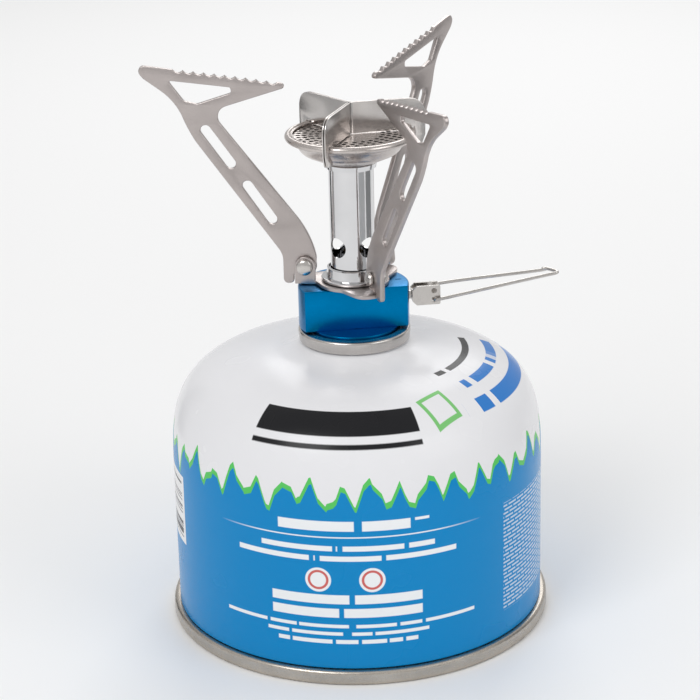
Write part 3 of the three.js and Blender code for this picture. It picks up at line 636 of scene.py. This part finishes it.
# ---------------------------------------------------------------- the canister
def dome_height(radius, settings, shrink=0.0):
    """Height of the dome: the shoulder plus its rise times (1 - (r / R) ^ 3.6) ^ (1 / 3.9), and near the neck
    a flare that grows with the square of the nearness to the neck."""
    outer = settings.body_radius - shrink
    across = np.clip(1 - (radius / outer) ** 3.6, 0, 1)
    rise = (settings.dome_top - shrink - settings.shoulder) * across ** (1 / 3.9)
    neck = reach("cup_gasket") + NECK_GAP
    flare = np.clip(neck + 9.3 * MM - radius, 0, None) / (9.3 * MM)
    return settings.shoulder + rise + 2.2 * MM * flare**2


def dome_profile(settings, shrink, inner, steps):
    """The dome's profile from the straight side to the neck, at even steps of a quarter turn."""
    share = np.sin(np.linspace(0, 1, steps + 1) * np.pi / 2)
    radius = inner + (settings.body_radius - shrink - inner) * np.sqrt(1 - share**2)
    return np.stack([radius, dome_height(radius, settings, shrink)], 1)


def make_canister(settings, finishes):
    """The can: a profile of its wall turned about the axis, and its dished base with a rolled seam."""
    wall = CAN_WALL
    low = bottom("canister_shell")
    neck = reach("cup_gasket") + NECK_GAP
    neck_top = bottom("cup_gasket") - GAP
    outside = dome_profile(settings, 0.0, neck, 48)
    inside = dome_profile(settings, wall, neck - wall, 24)[::-1]
    profile = np.concatenate([
        [[settings.body_radius, low]], outside, [[neck, neck_top], [neck - wall, neck_top]],
        inside, [[settings.body_radius - wall, low]],
    ])
    shell = turned("can_body", profile, 192, sharp=50)
    settle(shell, "canister", "can_paint", enamel(settings), "canister_shell")

    seam, high, width, lip = reach("canister_base"), 4.2 * MM, 2.6 * MM, 1.3 * MM
    fit = settings.body_radius - wall - GAP
    rise = 7.0 * MM
    base = rounded([
        (seam - width, 0, 0.5 * MM), (seam, 0, lip), (seam, high, lip), (fit, high, 0.2 * MM),
        (fit - 1 * MM, high + 2 * MM, 0.5 * MM), (30 * MM, rise + wall - 1 * MM, 9 * MM), (0, rise + wall, 0),
        (0, rise, 0), (30 * MM, rise - 1 * MM, 9 * MM), (seam - width - 2 * MM, high + 1 * MM, 0.5 * MM),
        (seam - width, high - 0.8 * MM, 0.5 * MM),
    ])
    settle(turned("can_base", base, 192), "canister", "tin", finishes["tin"], "canister_base")


def make_valve_cup(finishes):
    """The valve cup, from its skirt over the collar and down round the boss, and the valve's finishes."""
    collar, high = reach("valve_cup"), top("valve_cup")
    skirt, floor = high - 3.5 * MM, high - 6.5 * MM
    inner, wall = collar - 2.9 * MM, CAN_WALL
    boss, boss_top, bore = 5.5 * MM, high - 0.9 * MM, 3.0 * MM
    cup = rounded([
        (collar, skirt, 0.3 * MM), (collar, high - 0.1 * MM, 1.5 * MM), (collar - 1.5 * MM, high, 1.2 * MM),
        (inner, high, 1.3 * MM), (inner, floor, 1.0 * MM), (boss, floor, 0.8 * MM),
        (boss, boss_top, 0.6 * MM),
        (bore, boss_top, 0.2 * MM), (bore, floor - wall, 0), (inner + wall, floor - wall, 1.2 * MM),
        (inner + wall, high - 1.0 * MM, 0.5 * MM), (collar - wall, high - 1.0 * MM, 0.8 * MM),
        (collar - wall, skirt, 0.2 * MM),
    ])
    settle(turned("cup_and_collar", cup, 128, sharp=40), "canister", "steel", finishes["steel"], "valve_cup")
    dress(finishes["rubber"], "cup_gasket", "stem_gasket", "thread_seal", "spindle_seal")
    dress(finishes["brass"], "valve_housing", "opener_pin")
    dress(finishes["steel"], "valve_stem", "valve_spring")


# ---------------------------------------------------------------- the valve
def valve_turn():
    """The angle that the valve block and its spindle are turned about the upright axis."""
    axis = joint("valve_turn")["axis"]
    return math.atan2(axis[1], axis[0])


def out_place():
    """A matrix that lays the upright axis along the spindle, at the spindle's height."""
    height = joint("valve_turn")["pos_m"][2]
    return (Matrix.Rotation(valve_turn(), 4, "Z") @ Matrix.Translation((0, 0, height))
            @ Matrix.Rotation(math.pi / 2, 4, "Y"))


def make_block(finishes):
    """The valve block: a round with one flat, carved for the gland, the collar and a slot, and its ledge."""
    radius, flat, ledge = 15.7 * MM, 5.7 * MM, 12.8 * MM
    low, high = bottom("valve_body") + 5.5 * MM, top("valve_body")
    swing = math.degrees(math.asin(flat / radius))
    outline = Outline()
    outline.arc(0, 0, radius, -swing, 180 + swing, 96)
    place = Matrix.Rotation(valve_turn(), 4, "Z") @ Matrix.Translation((0, 0, (low + high) / 2))
    block = plate("valve_block", outline.loop(), [], high - low, 0.45 * MM, place)
    slot = plate("slot_cut", rounded([
        (12.15 * MM, 0.5 * MM, 0), (13.85 * MM, 0.5 * MM, 0), (13.85 * MM, 1.1 * MM, 0),
        (12.15 * MM, 1.1 * MM, 0)]),
        [], 1.0 * MM, 0.02 * MM, Matrix.Rotation(valve_turn(), 4, "Z") @ Matrix.Translation((0, 0, high)))
    gland = turned("gland_cut", [
        (0, 11.3 * MM), (3.2 * MM, 11.3 * MM), (3.2 * MM, 17 * MM), (0, 17 * MM)], 48, place=out_place())
    recess = turned("recess_cut", [
        (0, high - 1.5 * MM), (4.8 * MM, high - 1.5 * MM), (4.8 * MM, high + MM), (0, high + MM)], 48)
    carved(block, [slot, gland, recess])
    settle(block, "stove", "blue_anodised", finishes["anodised"], "valve_body")
    foot = bottom("valve_body")
    ring = rounded([
        (5.8 * MM, foot, 0.2 * MM), (ledge, foot, 0.3 * MM), (ledge, low + 0.2 * MM, 0),
        (5.8 * MM, low + 0.2 * MM, 0)])
    settle(turned("block_ledge", ring, 96), "stove", "blue_anodised", finishes["anodised"])


def make_spindle(finishes):
    """The gland nut round the spindle, and the finish of the spindle and its bracket."""
    dress(finishes["steel"], "spindle")
    near, far = 11.6 * MM, 15.2 * MM
    gland = rounded([(1.55 * MM, near, 0.1 * MM), (2.9 * MM, near, 0.1 * MM), (2.9 * MM, far, 0.4 * MM),
                     (1.55 * MM, far, 0.1 * MM)])
    settle(turned("gland", gland, 64, place=out_place()), "stove", "brass", finishes["brass"], "gland_nut")
    dress(finishes["steel"], "handle_bracket")


def make_wire(finishes):
    """The wire: two feet turned in through the bracket's holes, two legs and a narrow loop."""
    pivot = Vector(joint("handle_fold")["pos_m"])
    out, height = math.hypot(pivot.x, pivot.y), pivot.z
    radius, foot, inner = 0.5 * MM, 2.9 * MM, 1.3 * MM
    tip, rise, half = out + 35.75 * MM, height + 5.6 * MM, 2.2 * MM
    skew, corner = 2.2 * MM, 1.0 * MM

    def leg(side, lift):
        return [
            (out, side * inner, height), (out, side * (foot - corner), height),
            (out + corner * 0.3, side * (foot - corner * 0.3), height + lift * 0.1),
            (out + corner, side * foot, height + 0.2 * MM + lift * 0.5),
            (out + 3 * MM, side * foot, height + 0.5 * MM + lift),
            (tip - 5 * MM, side * (half + 0.1 * MM), rise - 0.8 * MM + lift * 0.1)]

    loop = [
        (tip - 0.9 * MM, -half, rise - 0.2 * MM), (tip, -half + 0.7 * MM, rise),
        (tip - skew / 2, 0.2 * MM, rise + 0.1 * MM), (tip - skew, half - 0.6 * MM, rise + 0.1 * MM),
        (tip - skew - 1 * MM, half, rise)]
    path = smooth_path(leg(-1, 0.0) + loop + leg(1, 2.6 * MM)[::-1], 14)
    path = moved(path, Matrix.Rotation(valve_turn(), 4, "Z"))
    settle(swept("handle_wire", path, radius), "handle", "steel", finishes["steel"], "wire_handle")


# ---------------------------------------------------------------- the burner
def make_tube(finishes):
    """The mixing tube with four air holes, the band round it and the nut and flange at its foot."""
    foot, high = bottom("burner_tube"), top("burner_tube")
    radius, wall, hole = TUBE_RADIUS, TUBE_WALL, 2.9 * MM
    tube = turned("mixing_tube", rounded([
        (radius - wall, foot, 0.1 * MM), (radius, foot, 0.1 * MM), (radius, high, 0.15 * MM),
        (radius - wall, high, 0.1 * MM)]), 128)
    level = top("valve_body") + 11.8 * MM
    cuts = []
    for quarter in range(4):
        place = (Matrix.Rotation(math.radians(45 + 90 * quarter), 4, "Z") @ Matrix.Translation((0, 0, level))
                 @ Matrix.Rotation(math.pi / 2, 4, "Y"))
        profile = [(0, 2 * MM), (hole, 2 * MM), (hole, 9 * MM), (0, 9 * MM)]
        cuts.append(turned("air_cut", profile, 48, place=place))
    settle(carved(tube, cuts), "stove", "polished", finishes["polished"], "burner_tube")
    ring_low, ring_high = bottom("tube_ring"), top("tube_ring")
    ring = rounded([(radius + GAP, ring_low, 0.1 * MM), (radius + GAP + 0.7 * MM, ring_low, 0.3 * MM),
                    (radius + GAP + 0.7 * MM, ring_high, 0.3 * MM), (radius + GAP, ring_high, 0.1 * MM)])
    settle(turned("tube_band", ring, 96), "stove", "polished", finishes["polished"], "tube_ring")

    flange_low, nut_top, deck = top("valve_body") + 1.6 * MM, top("tube_collar"), top("valve_body")
    nut, flange = radius + GAP + 0.65 * MM, reach("tube_collar")
    collar = rounded([
        (SPIGOT_RADIUS, deck - 1.2 * MM, 0.1 * MM), (SPIGOT_RADIUS, flange_low, 0),
        (flange, flange_low, 0.3 * MM),
        (flange, flange_low + MM, 0.4 * MM), (nut, flange_low + MM, 0.3 * MM), (nut, nut_top, 0.3 * MM),
        (radius + GAP, nut_top, 0.1 * MM), (radius + GAP, flange_low + 1.3 * MM, 0),
        (3.2 * MM, flange_low + 1.3 * MM, 0),
        (3.2 * MM, deck - 1.2 * MM, 0)])
    settle(turned("tube_nut", collar, 96), "stove", "polished", finishes["polished"], "tube_collar")
    dress(finishes["brass"], "gas_jet")


def steel_with_painted_shade(name, shade_height, lowest, highest):
    """Satin steel with painted shade: near black up to a height on the faces whose normal's z is between two
    values, standing in for the shade in the burner under its screen.
    """
    finish = Finish(name)
    slow, fine = finish.noise(TONE_SCALE, 3.0), finish.noise(5000.0, 2.0)
    bright = finish.mix(finish.between(slow, 0.0, 1.0), (0.56, 0.51, 0.485), (0.64, 0.59, 0.56))
    normal, place = finish.node("ShaderNodeSeparateXYZ"), finish.node("ShaderNodeSeparateXYZ")
    finish.tree.links.new(finish.node("ShaderNodeNewGeometry").outputs["Normal"], normal.inputs[0])
    finish.tree.links.new(finish.place, place.inputs[0])
    below = finish.between(place.outputs[2], 1.0, 0.0, shade_height - 0.15 * MM, shade_height + 0.15 * MM)
    above = finish.between(normal.outputs[2], 0.0, 1.0, lowest - 0.05, lowest + 0.05)
    under = finish.between(normal.outputs[2], 1.0, 0.0, highest - 0.05, highest + 0.05)
    mask = finish.math("MULTIPLY", finish.math("MULTIPLY", below, above), under)
    # painted shade: the chosen faces are painted near black
    finish.set(Base_Color=finish.mix(mask, bright, (0.03, 0.028, 0.026)), Metallic=1.0)
    finish.set(Roughness=finish.between(fine, 0.20, 0.32))
    finish.bump(fine, 0.10, GRAIN_HEIGHT)
    return finish.material


def make_head(settings, finishes):
    """The burner's bowl with its rolled rim, and the thin screen with staggered rings of holes."""
    rim, tube, wall = reach("burner_head"), TUBE_RADIUS, TUBE_WALL
    neck, low = tube - wall - GAP, bottom("burner_head")
    bowl = low + 3.3 * MM
    level, roll = bowl - GAP + 7.2 * MM, 1.0 * MM
    screen, seat, sheet = reach("burner_screen"), bottom("burner_screen"), 0.5 * MM
    angle = np.radians(np.linspace(-75, 130, 22))
    rolled = np.stack([rim - roll + roll * np.cos(angle), level + roll * np.sin(angle)], 1)
    under = rounded([
        (neck, low, 0), (neck, bowl, 0.2 * MM), (tube + 2.2 * MM, bowl, 1.0 * MM),
        (rim - 4.6 * MM, bowl + 2.4 * MM, 4 * MM),
        (rim - 2.9 * MM, bowl + 4.9 * MM, 0.3 * MM), (rim - 1.3 * MM, level - 0.95 * roll, 0.2 * MM)])
    inner = rounded([
        (screen - 0.6 * MM, level + roll * 0.75, 0), (screen - 0.6 * MM, seat + sheet + GAP, 0),
        (screen + GAP, seat + sheet + GAP, 0), (screen + GAP, seat - GAP, 0),
        (screen - 0.8 * MM, seat - GAP, 0.1 * MM),
        (screen - 1.0 * MM, seat - 1.0 * MM, 0.5 * MM), (rim - 4.5 * MM, bowl + 4.4 * MM, 3 * MM),
        (tube + 1.85 * MM, bowl + wall, 1.5 * MM), (neck - wall, bowl + wall, 0.2 * MM),
        (neck - wall, low, 0)])
    head = turned("burner_bowl", np.concatenate([under, rolled, inner]), 128, sharp=45)
    # painted shade: the inside of the bowl under the screen is painted near black
    settle(head, "stove", "titanium", steel_with_painted_shade("bowl_painted_shade", seat - 0.3 * MM, 0.0, 1.2), "burner_head")

    holes = []
    outer_ring, step = 14.4 * MM, 1.75 * MM
    for ring in range(settings.screen_rings):
        radius = outer_ring - step * ring
        count = int(2 * math.pi * radius / (2.35 * MM))
        for k in range(count):
            turn = 2 * math.pi * (k + 0.5 * (ring % 2)) / count
            holes.append(ring_loop(radius * math.cos(turn), radius * math.sin(turn), 0.66 * MM, 12, turn))
    disc, gauze = ring_loop(0, 0, screen, 96), 0.2 * MM
    place = Matrix.Translation((0, 0, seat + sheet - gauze / 2))
    # painted shade: the screen's underside and the walls of its holes are painted near black
    settle(plate("flame_screen", disc, holes, gauze, 0.04 * MM, place),
           "stove", "titanium", steel_with_painted_shade("screen_painted_shade", seat + MM, -1.2, 0.5), "burner_screen")


def bend_leaf(points, near, sheet, bend):
    """A flat sheet of length s, height z and thickness w wrapped round its bend: within half the arc the
    point turns about the bend's centre, and beyond it the sheet runs straight, 60 degrees to each side."""
    centre = (near + bend) / math.sin(math.pi / 3)
    along = centre * math.cos(math.pi / 3)
    middle = bend - sheet / 2
    half = middle * math.pi / 6
    s, z, w = points.T
    turn = math.pi - np.clip(s / half, -1, 1) * math.pi / 6
    arc = np.stack([centre + (middle - w) * np.cos(turn), (middle - w) * np.sin(turn)], 1)
    distance, side = along + np.abs(s) - half, near + sheet / 2 + w
    c, n = math.cos(math.pi / 3), math.sin(math.pi / 3)
    wing = np.stack([distance * c + side * n, np.sign(s) * (distance * n - side * c)], 1)
    flat = np.where((np.abs(s) <= half)[:, None], arc, wing)
    return np.concatenate([flat, z[:, None]], 1)


def make_leaves(finishes):
    """The three heat leaves: each a flat sheet bent at its middle, with a wing 60 degrees to each side."""
    near, sheet, bend = 0.15 * MM, 0.35 * MM, 1.5 * MM
    foot_low, high = bottom("flame_leaf_1"), top("flame_leaf_1")
    deck = top("burner_screen") + GAP
    rim, level = reach("burner_head"), top("burner_head") - 1.0 * MM
    over, under = top("burner_head") + GAP, bottom("burner_head") + 3.0 * MM + 4.9 * MM
    outer = rim + 3.1 * MM
    shift = 0.2587 * MM     # about how much shorter half the bend is than the way to its sharp corner
    half = [
        (rim - 3.4 * MM, deck, 0.05 * MM), (rim - 3.4 * MM, over, 0.3 * MM), (rim + GAP, over, 0.3 * MM),
        (rim + GAP, level - MM, 0.5 * MM), (rim - 2 * MM, under - 0.8 * MM, 0.1 * MM), 
        (rim - 2.6 * MM, foot_low, 0.4 * MM),
        (outer - 1.2 * MM, foot_low, 1.6 * MM), (outer, level - MM, 1 * MM), (outer, high, 7 * MM)]
    half = [(x - shift, y, r) for x, y, r in half]
    outline = rounded([*half, *[(-x, y, r) for x, y, r in half[::-1]]], 10)
    points, faces, flat = plate_shape(outline, [], sheet, 0.09 * MM, 3)
    sample = bpy.data.meshes.new("leaf")
    sample.from_pydata(points.tolist(), [], [list(map(int, f)) for f in faces])
    shape = bmesh.new()
    shape.from_mesh(sample)
    for cut in np.linspace(-0.75, 0.75, 13) * MM:
        everything = shape.verts[:] + shape.edges[:] + shape.faces[:]
        bmesh.ops.bisect_plane(shape, geom=everything, plane_co=(cut, 0, 0), plane_no=(1, 0, 0), dist=1e-8)
    shape.to_mesh(sample)
    shape.free()
    flat_points = np.array([v.co for v in sample.vertices])
    cut_faces = [list(p.vertices) for p in sample.polygons]
    bent = bend_leaf(flat_points, near, sheet, bend)
    bpy.data.meshes.remove(sample)
    for k in range(3):
        place = Matrix.Rotation(math.radians(LEAF_BEARING + 60 + 120 * k), 4, "Z")
        leaf = make_mesh("heat_leaf_%d" % (k + 1), moved(bent, place), cut_faces, sharp=25)
        settle(leaf, "stove", "titanium", finishes["bright"], "flame_leaf_%d" % (k + 1))


# ---------------------------------------------------------------- the pot supports
def support_loops():
    """The support's outline and its holes about its rivet, in millimetres: x outwards and y upwards."""
    outer, inner, teeth, depth, crown = np.array([35.4, 56.3]), np.array([6.4, 52.7]), 10, 0.75, 0.2

    def along(share):
        return outer + (inner - outer) * share + np.array([0, crown * math.sin(math.pi * share)])

    heel = 3.2
    shape = Outline(*outer)
    for tooth in range(teeth):
        valley, peak = along((tooth + 0.5) / teeth), along((tooth + 1) / teeth)
        shape.curve(valley[0], valley[1] - 2 * depth, *peak, steps=8)
    shape.curve(4.4, 52.6, 4.5, 51.6).curve(4.6, 51.0, 5.5, 50.8).line(20.7, 46.0)
    shape.curve(23.1, 45.2, 23.2, 42.8).curve(23.2, 41.8, 22.5, 40.9).line(1.6, 13.8)
    shape.curve(-2.1, 8.6, -3.3, 2.6, 12).arc(0, 0, 3.3, 165, 300)
    shape.line(heel, -2.8).line(heel, -4.2).curve(heel + 0.1, -5.3, heel + 1.5, -5.3)
    shape.curve(heel + 2.9, -5.3, heel + 3.0, -4.0).line(heel + 3.0, 1.4).curve(heel + 3.0, 3.2, 7.3, 4.8)
    shape.line(29.5, 35.7).curve(31.7, 39.2, 33.3, 43.5, 12).curve(35.3, 47.8, 39.1, 50.5, 12)
    shape.line(43.3, 53.5)
    shape.curve(45.1, 55.1, 44.7, 56.2).curve(44.4, 57.4, 43.1, 57.3)
    window = rounded([
        (36.8, 53.2, 0.6), (32.5, 47.4, 1.2), (28.9, 46.6, 2.0), (19.1, 49.8, 0.8), (19.4, 51.3, 0.6)], 8)
    slots = [slot_loop((26.7, 39.1), (20.1, 29.7), 3.0), slot_loop((15.5, 23.2), (9.0, 13.6), 3.0)]
    return shape.loop(), [window, *slots, ring_loop(0, 0, RIVET_HOLE / MM, 32)]


def support_frame(name):
    """The place of a support's rivet: x outwards, y upwards and z across the support."""
    at = Vector(joint(name + "_fold")["pos_m"])
    out = Vector((at.x, at.y, 0)).normalized()
    across = out.cross(Vector((0, 0, 1)))
    place = Matrix((out, (0, 0, 1), across)).transposed().to_4x4()
    place.translation = at
    return place


def make_plate(finishes):
    """The base plate: a disc with three rounded lobes, and on each lobe an ear that holds a rivet."""
    low, sheet = bottom("base_plate"), PLATE_SHEET
    disc, reach_out, side, ear = 10.2 * MM, 16.3 * MM, 2.2 * MM, 5.8 * MM
    corners = []
    for name in SUPPORTS:
        place = support_frame(name)
        out = math.atan2(place.translation.y, place.translation.x)
        lobe = [(7.4 * MM, -7 * MM, 3 * MM), (reach_out, -5 * MM, 4.5 * MM), (reach_out, side, 0.2 * MM),
                (reach_out - ear, side, 0.8 * MM)]
        arc = np.radians(np.linspace(24, 66, 9))
        lobe += [(disc * math.cos(a), disc * math.sin(a), 0.0) for a in arc]
        corners += [(x * math.cos(out) - y * math.sin(out), x * math.sin(out) + y * math.cos(out), r)
                    for x, y, r in lobe]
    hole = ring_loop(0, 0, 4.7 * MM, 48)
    level = Matrix.Translation((0, 0, low + sheet / 2))
    body = plate("stove_plate", rounded(corners, 8), [hole], sheet, 0.12 * MM, level)
    ears = []
    for name in SUPPORTS:
        place = support_frame(name)
        rivet = math.hypot(place.translation.x, place.translation.y)
        middle, half, foot = reach_out - ear / 2 - rivet, ear / 2, low - place.translation.z
        shape = Outline(middle + half, foot + 0.1 * MM)
        shape.arc(middle, 0, half, 0, 180, 16).line(middle - half, foot + 0.1 * MM)
        holes = [ring_loop(0, 0, RIVET_HOLE, 24)]
        ears.append(plate(name + "_ear", shape.loop(), holes, EAR_SHEET, 0.12 * MM,
                          place @ Matrix.Translation((0, 0, EAR_SHEET / 2 - side))))
    settle(carved(body, ears, "UNION"), "stove", "titanium", finishes["titanium"], "base_plate")


def make_supports(settings, finishes):
    """The three pot supports, each leaning as it stands at rest, with their rivets and the base plate."""
    outer, holes = support_loops()
    thick, ear, head, pin = ARM_SHEET, EAR_SHEET, 2.35 * MM, 1.3 * MM
    for name in SUPPORTS:
        place = support_frame(name)
        lean = place @ Matrix.Rotation(math.radians(REST_LEAN[name]), 4, "Z")
        arm = plate(
            name + "_pot_support", outer * MM, [h * MM for h in holes], thick, settings.support_edge, lean)
        settle(arm, name + "_arm", "titanium", finishes["titanium"], name + "_support")
        low, seat = -thick / 2 - GAP, thick / 2 + 2 * GAP + ear
        dome = Outline(0, seat + 1.1 * MM)
        dome.curve(head * 0.95, seat + 1.1 * MM, head, seat + 0.15 * MM, 12).line(head, seat).line(pin, seat)
        dome.line(pin, low).line(1.9 * MM, low).line(1.9 * MM, low - 0.5 * MM).line(1.6 * MM, low - 0.9 * MM)
        dome.line(0, low - 0.9 * MM)
        flip = place @ Matrix.Rotation(math.pi, 4, "X")
        rivet = turned(name + "_rivet_dome", dome.loop(), 64, place=flip)
        settle(rivet, "stove", "steel", finishes["steel"], name + "_rivet")
    make_plate(finishes)


# ---------------------------------------------------------------- the studio
def plain(name, colour, roughness=0.6):
    """An even material for the studio."""
    material = bpy.data.materials.new(name)
    material.use_nodes = True
    shader = material.node_tree.nodes["Principled BSDF"]
    shader.inputs["Base Color"].default_value = (*colour, 1)
    shader.inputs["Roughness"].default_value = roughness
    return material


def card(name, centre, width, height, turn, colour):
    """An upright card that only reflections see."""
    x, z = width / 2, height / 2
    points = moved(np.array([(-x, 0, -z), (x, 0, -z), (x, 0, z), (-x, 0, z)]),
                   Matrix.Translation(centre) @ Matrix.Rotation(turn, 4, "Z"))
    mesh = bpy.data.meshes.new(name)
    mesh.from_pydata(points.tolist(), [], [(0, 1, 2, 3)])
    obj = bpy.data.objects.new(name, mesh)
    bpy.context.scene.collection.objects.link(obj)
    mesh.materials.append(plain(name, colour))
    obj.visible_camera = obj.visible_shadow = obj.visible_diffuse = False


def make_studio(settings):
    """An even sky, a pale floor, three lamps, five cards for the metals to reflect and the camera."""
    scene = bpy.context.scene
    scene.view_settings.view_transform = "Standard"
    world = bpy.data.worlds.new("studio")
    scene.world = world
    world.use_nodes = True
    sky = world.node_tree.nodes["Background"]
    sky.inputs["Color"].default_value = (1, 1, 1, 1)
    sky.inputs["Strength"].default_value = settings.sky

    size = 6.0
    mesh = bpy.data.meshes.new("floor")
    corners = [(-size, -size, 0), (size, -size, 0), (size, size, 0), (-size, size, 0)]
    mesh.from_pydata(corners, [], [(0, 1, 2, 3)])
    floor = bpy.data.objects.new("floor", mesh)
    mesh.materials.append(plain("pale_floor", tuple(settings.floor), 0.9))
    scene.collection.objects.link(floor)

    lamps = (("key", (-0.55, -0.75, 0.95), 0.55, 5.0), ("fill", (0.80, -0.55, 0.55), 0.6, 2.0),
             ("back", (0.1, 0.9, 0.8), 0.6, 3.5))
    target = Vector((0, 0, 0.09))
    for name, at, width, power in lamps:
        light = bpy.data.lights.new(name, "AREA")
        light.shape, light.size, light.energy = "SQUARE", width, power
        lamp = bpy.data.objects.new(name, light)
        lamp.location = at
        lamp.rotation_euler = (target - Vector(at)).to_track_quat("-Z", "Y").to_euler()
        scene.collection.objects.link(lamp)

    for name, bearing, distance, width, tone in (
            ("shade_left", -128, 0.22, 0.06, 0.10), ("shade_near_left", -104, 0.21, 0.045, 0.50),
            ("line", 32, 0.20, 0.005, 0.04), ("shade_right", 54, 0.22, 0.13, 0.52),
            ("shade_far_right", 96, 0.22, 0.15, 0.28)):
        angle = math.radians(bearing)
        at = (distance * math.sin(angle), -distance * math.cos(angle), 0.08)
        card(name, at, width, 0.15, angle, (tone,) * 3)

    data = bpy.data.cameras.new("camera")
    data.sensor_width, data.lens = 36.0, 118.45
    data.shift_x = -4.9 / 700
    camera = bpy.data.objects.new("camera", data)
    look = Vector((0, 0, 0.078309))
    lift = settings.camera_elevation
    back = Vector((0, -math.cos(lift), math.sin(lift)))
    camera.rotation_mode = "QUATERNION"
    roll = Matrix.Rotation(math.radians(-1.3), 3, "Z")
    right = Vector((1, 0, 0))
    facing = Matrix((right, back.cross(right), back)).transposed()
    camera.rotation_quaternion = (facing @ roll).to_quaternion()
    camera.location = look + back * settings.camera_distance
    scene.collection.objects.link(camera)
    scene.camera = camera


# ---------------------------------------------------------------- operators
FINISHES = {}


def finishes():
    """The finishes, made once for all the operators."""
    if not FINISHES:
        FINISHES.update(make_finishes(bpy.context.scene.stove))
    return FINISHES


class MakeCanister(bpy.types.Operator):
    """Builds the canister's body and base and its print"""
    bl_idname = "camping_stove.canister"
    bl_label = "Canister"

    def execute(self, context):
        make_canister(context.scene.canister, finishes())
        return {"FINISHED"}


class MakeValveCup(bpy.types.Operator):
    """Builds the valve cup and finishes the valve inside it"""
    bl_idname = "camping_stove.valve_cup"
    bl_label = "Valve cup"

    def execute(self, context):
        make_valve_cup(finishes())
        return {"FINISHED"}


class MakeValveBlock(bpy.types.Operator):
    """Builds the valve block, its gland and the spindle's finish"""
    bl_idname = "camping_stove.valve_block"
    bl_label = "Valve block"

    def execute(self, context):
        make_block(finishes())
        make_spindle(finishes())
        return {"FINISHED"}


class MakeHandle(bpy.types.Operator):
    """Builds the wire handle"""
    bl_idname = "camping_stove.handle"
    bl_label = "Wire handle"

    def execute(self, context):
        make_wire(finishes())
        return {"FINISHED"}


class MakeBurner(bpy.types.Operator):
    """Builds the tube, collar, head, screen and leaves of the burner"""
    bl_idname = "camping_stove.burner"
    bl_label = "Burner"

    def execute(self, context):
        make_tube(finishes())
        make_head(context.scene.stove, finishes())
        make_leaves(finishes())
        return {"FINISHED"}


class MakeSupports(bpy.types.Operator):
    """Builds the three pot supports, their rivets and the base plate"""
    bl_idname = "camping_stove.supports"
    bl_label = "Pot supports"

    def execute(self, context):
        make_supports(context.scene.stove, finishes())
        return {"FINISHED"}


class MakeStudio(bpy.types.Operator):
    """Sets up the floor, the light and the camera"""
    bl_idname = "camping_stove.studio"
    bl_label = "Studio"

    def execute(self, context):
        make_studio(context.scene.studio)
        return {"FINISHED"}


OPERATORS = (MakeStudio, MakeCanister, MakeValveCup, MakeValveBlock, MakeHandle, MakeBurner, MakeSupports)


class StovePanel(bpy.types.Panel):
    """Lists the steps that build the stove"""
    bl_idname = "VIEW3D_PT_camping_stove"
    bl_label = "Camping stove"
    bl_space_type = "VIEW_3D"
    bl_region_type = "UI"
    bl_category = "Stove"

    def draw(self, context):
        for step in OPERATORS:
            self.layout.operator(step.bl_idname)


SETTINGS = {"canister": CanisterSettings, "stove": StoveSettings, "studio": StudioSettings}
CLASSES = (*SETTINGS.values(), *OPERATORS, StovePanel)


def register():
    for cls in CLASSES:
        bpy.utils.register_class(cls)
    for name, group in SETTINGS.items():
        setattr(bpy.types.Scene, name, PointerProperty(type=group))


def unregister():
    for name in SETTINGS:
        delattr(bpy.types.Scene, name)
    for cls in reversed(CLASSES):
        bpy.utils.unregister_class(cls)


def main():
    register()
    for step in OPERATORS:
        group, name = step.bl_idname.split(".")
        getattr(getattr(bpy.ops, group), name)()


if __name__ == "__main__":
    main()
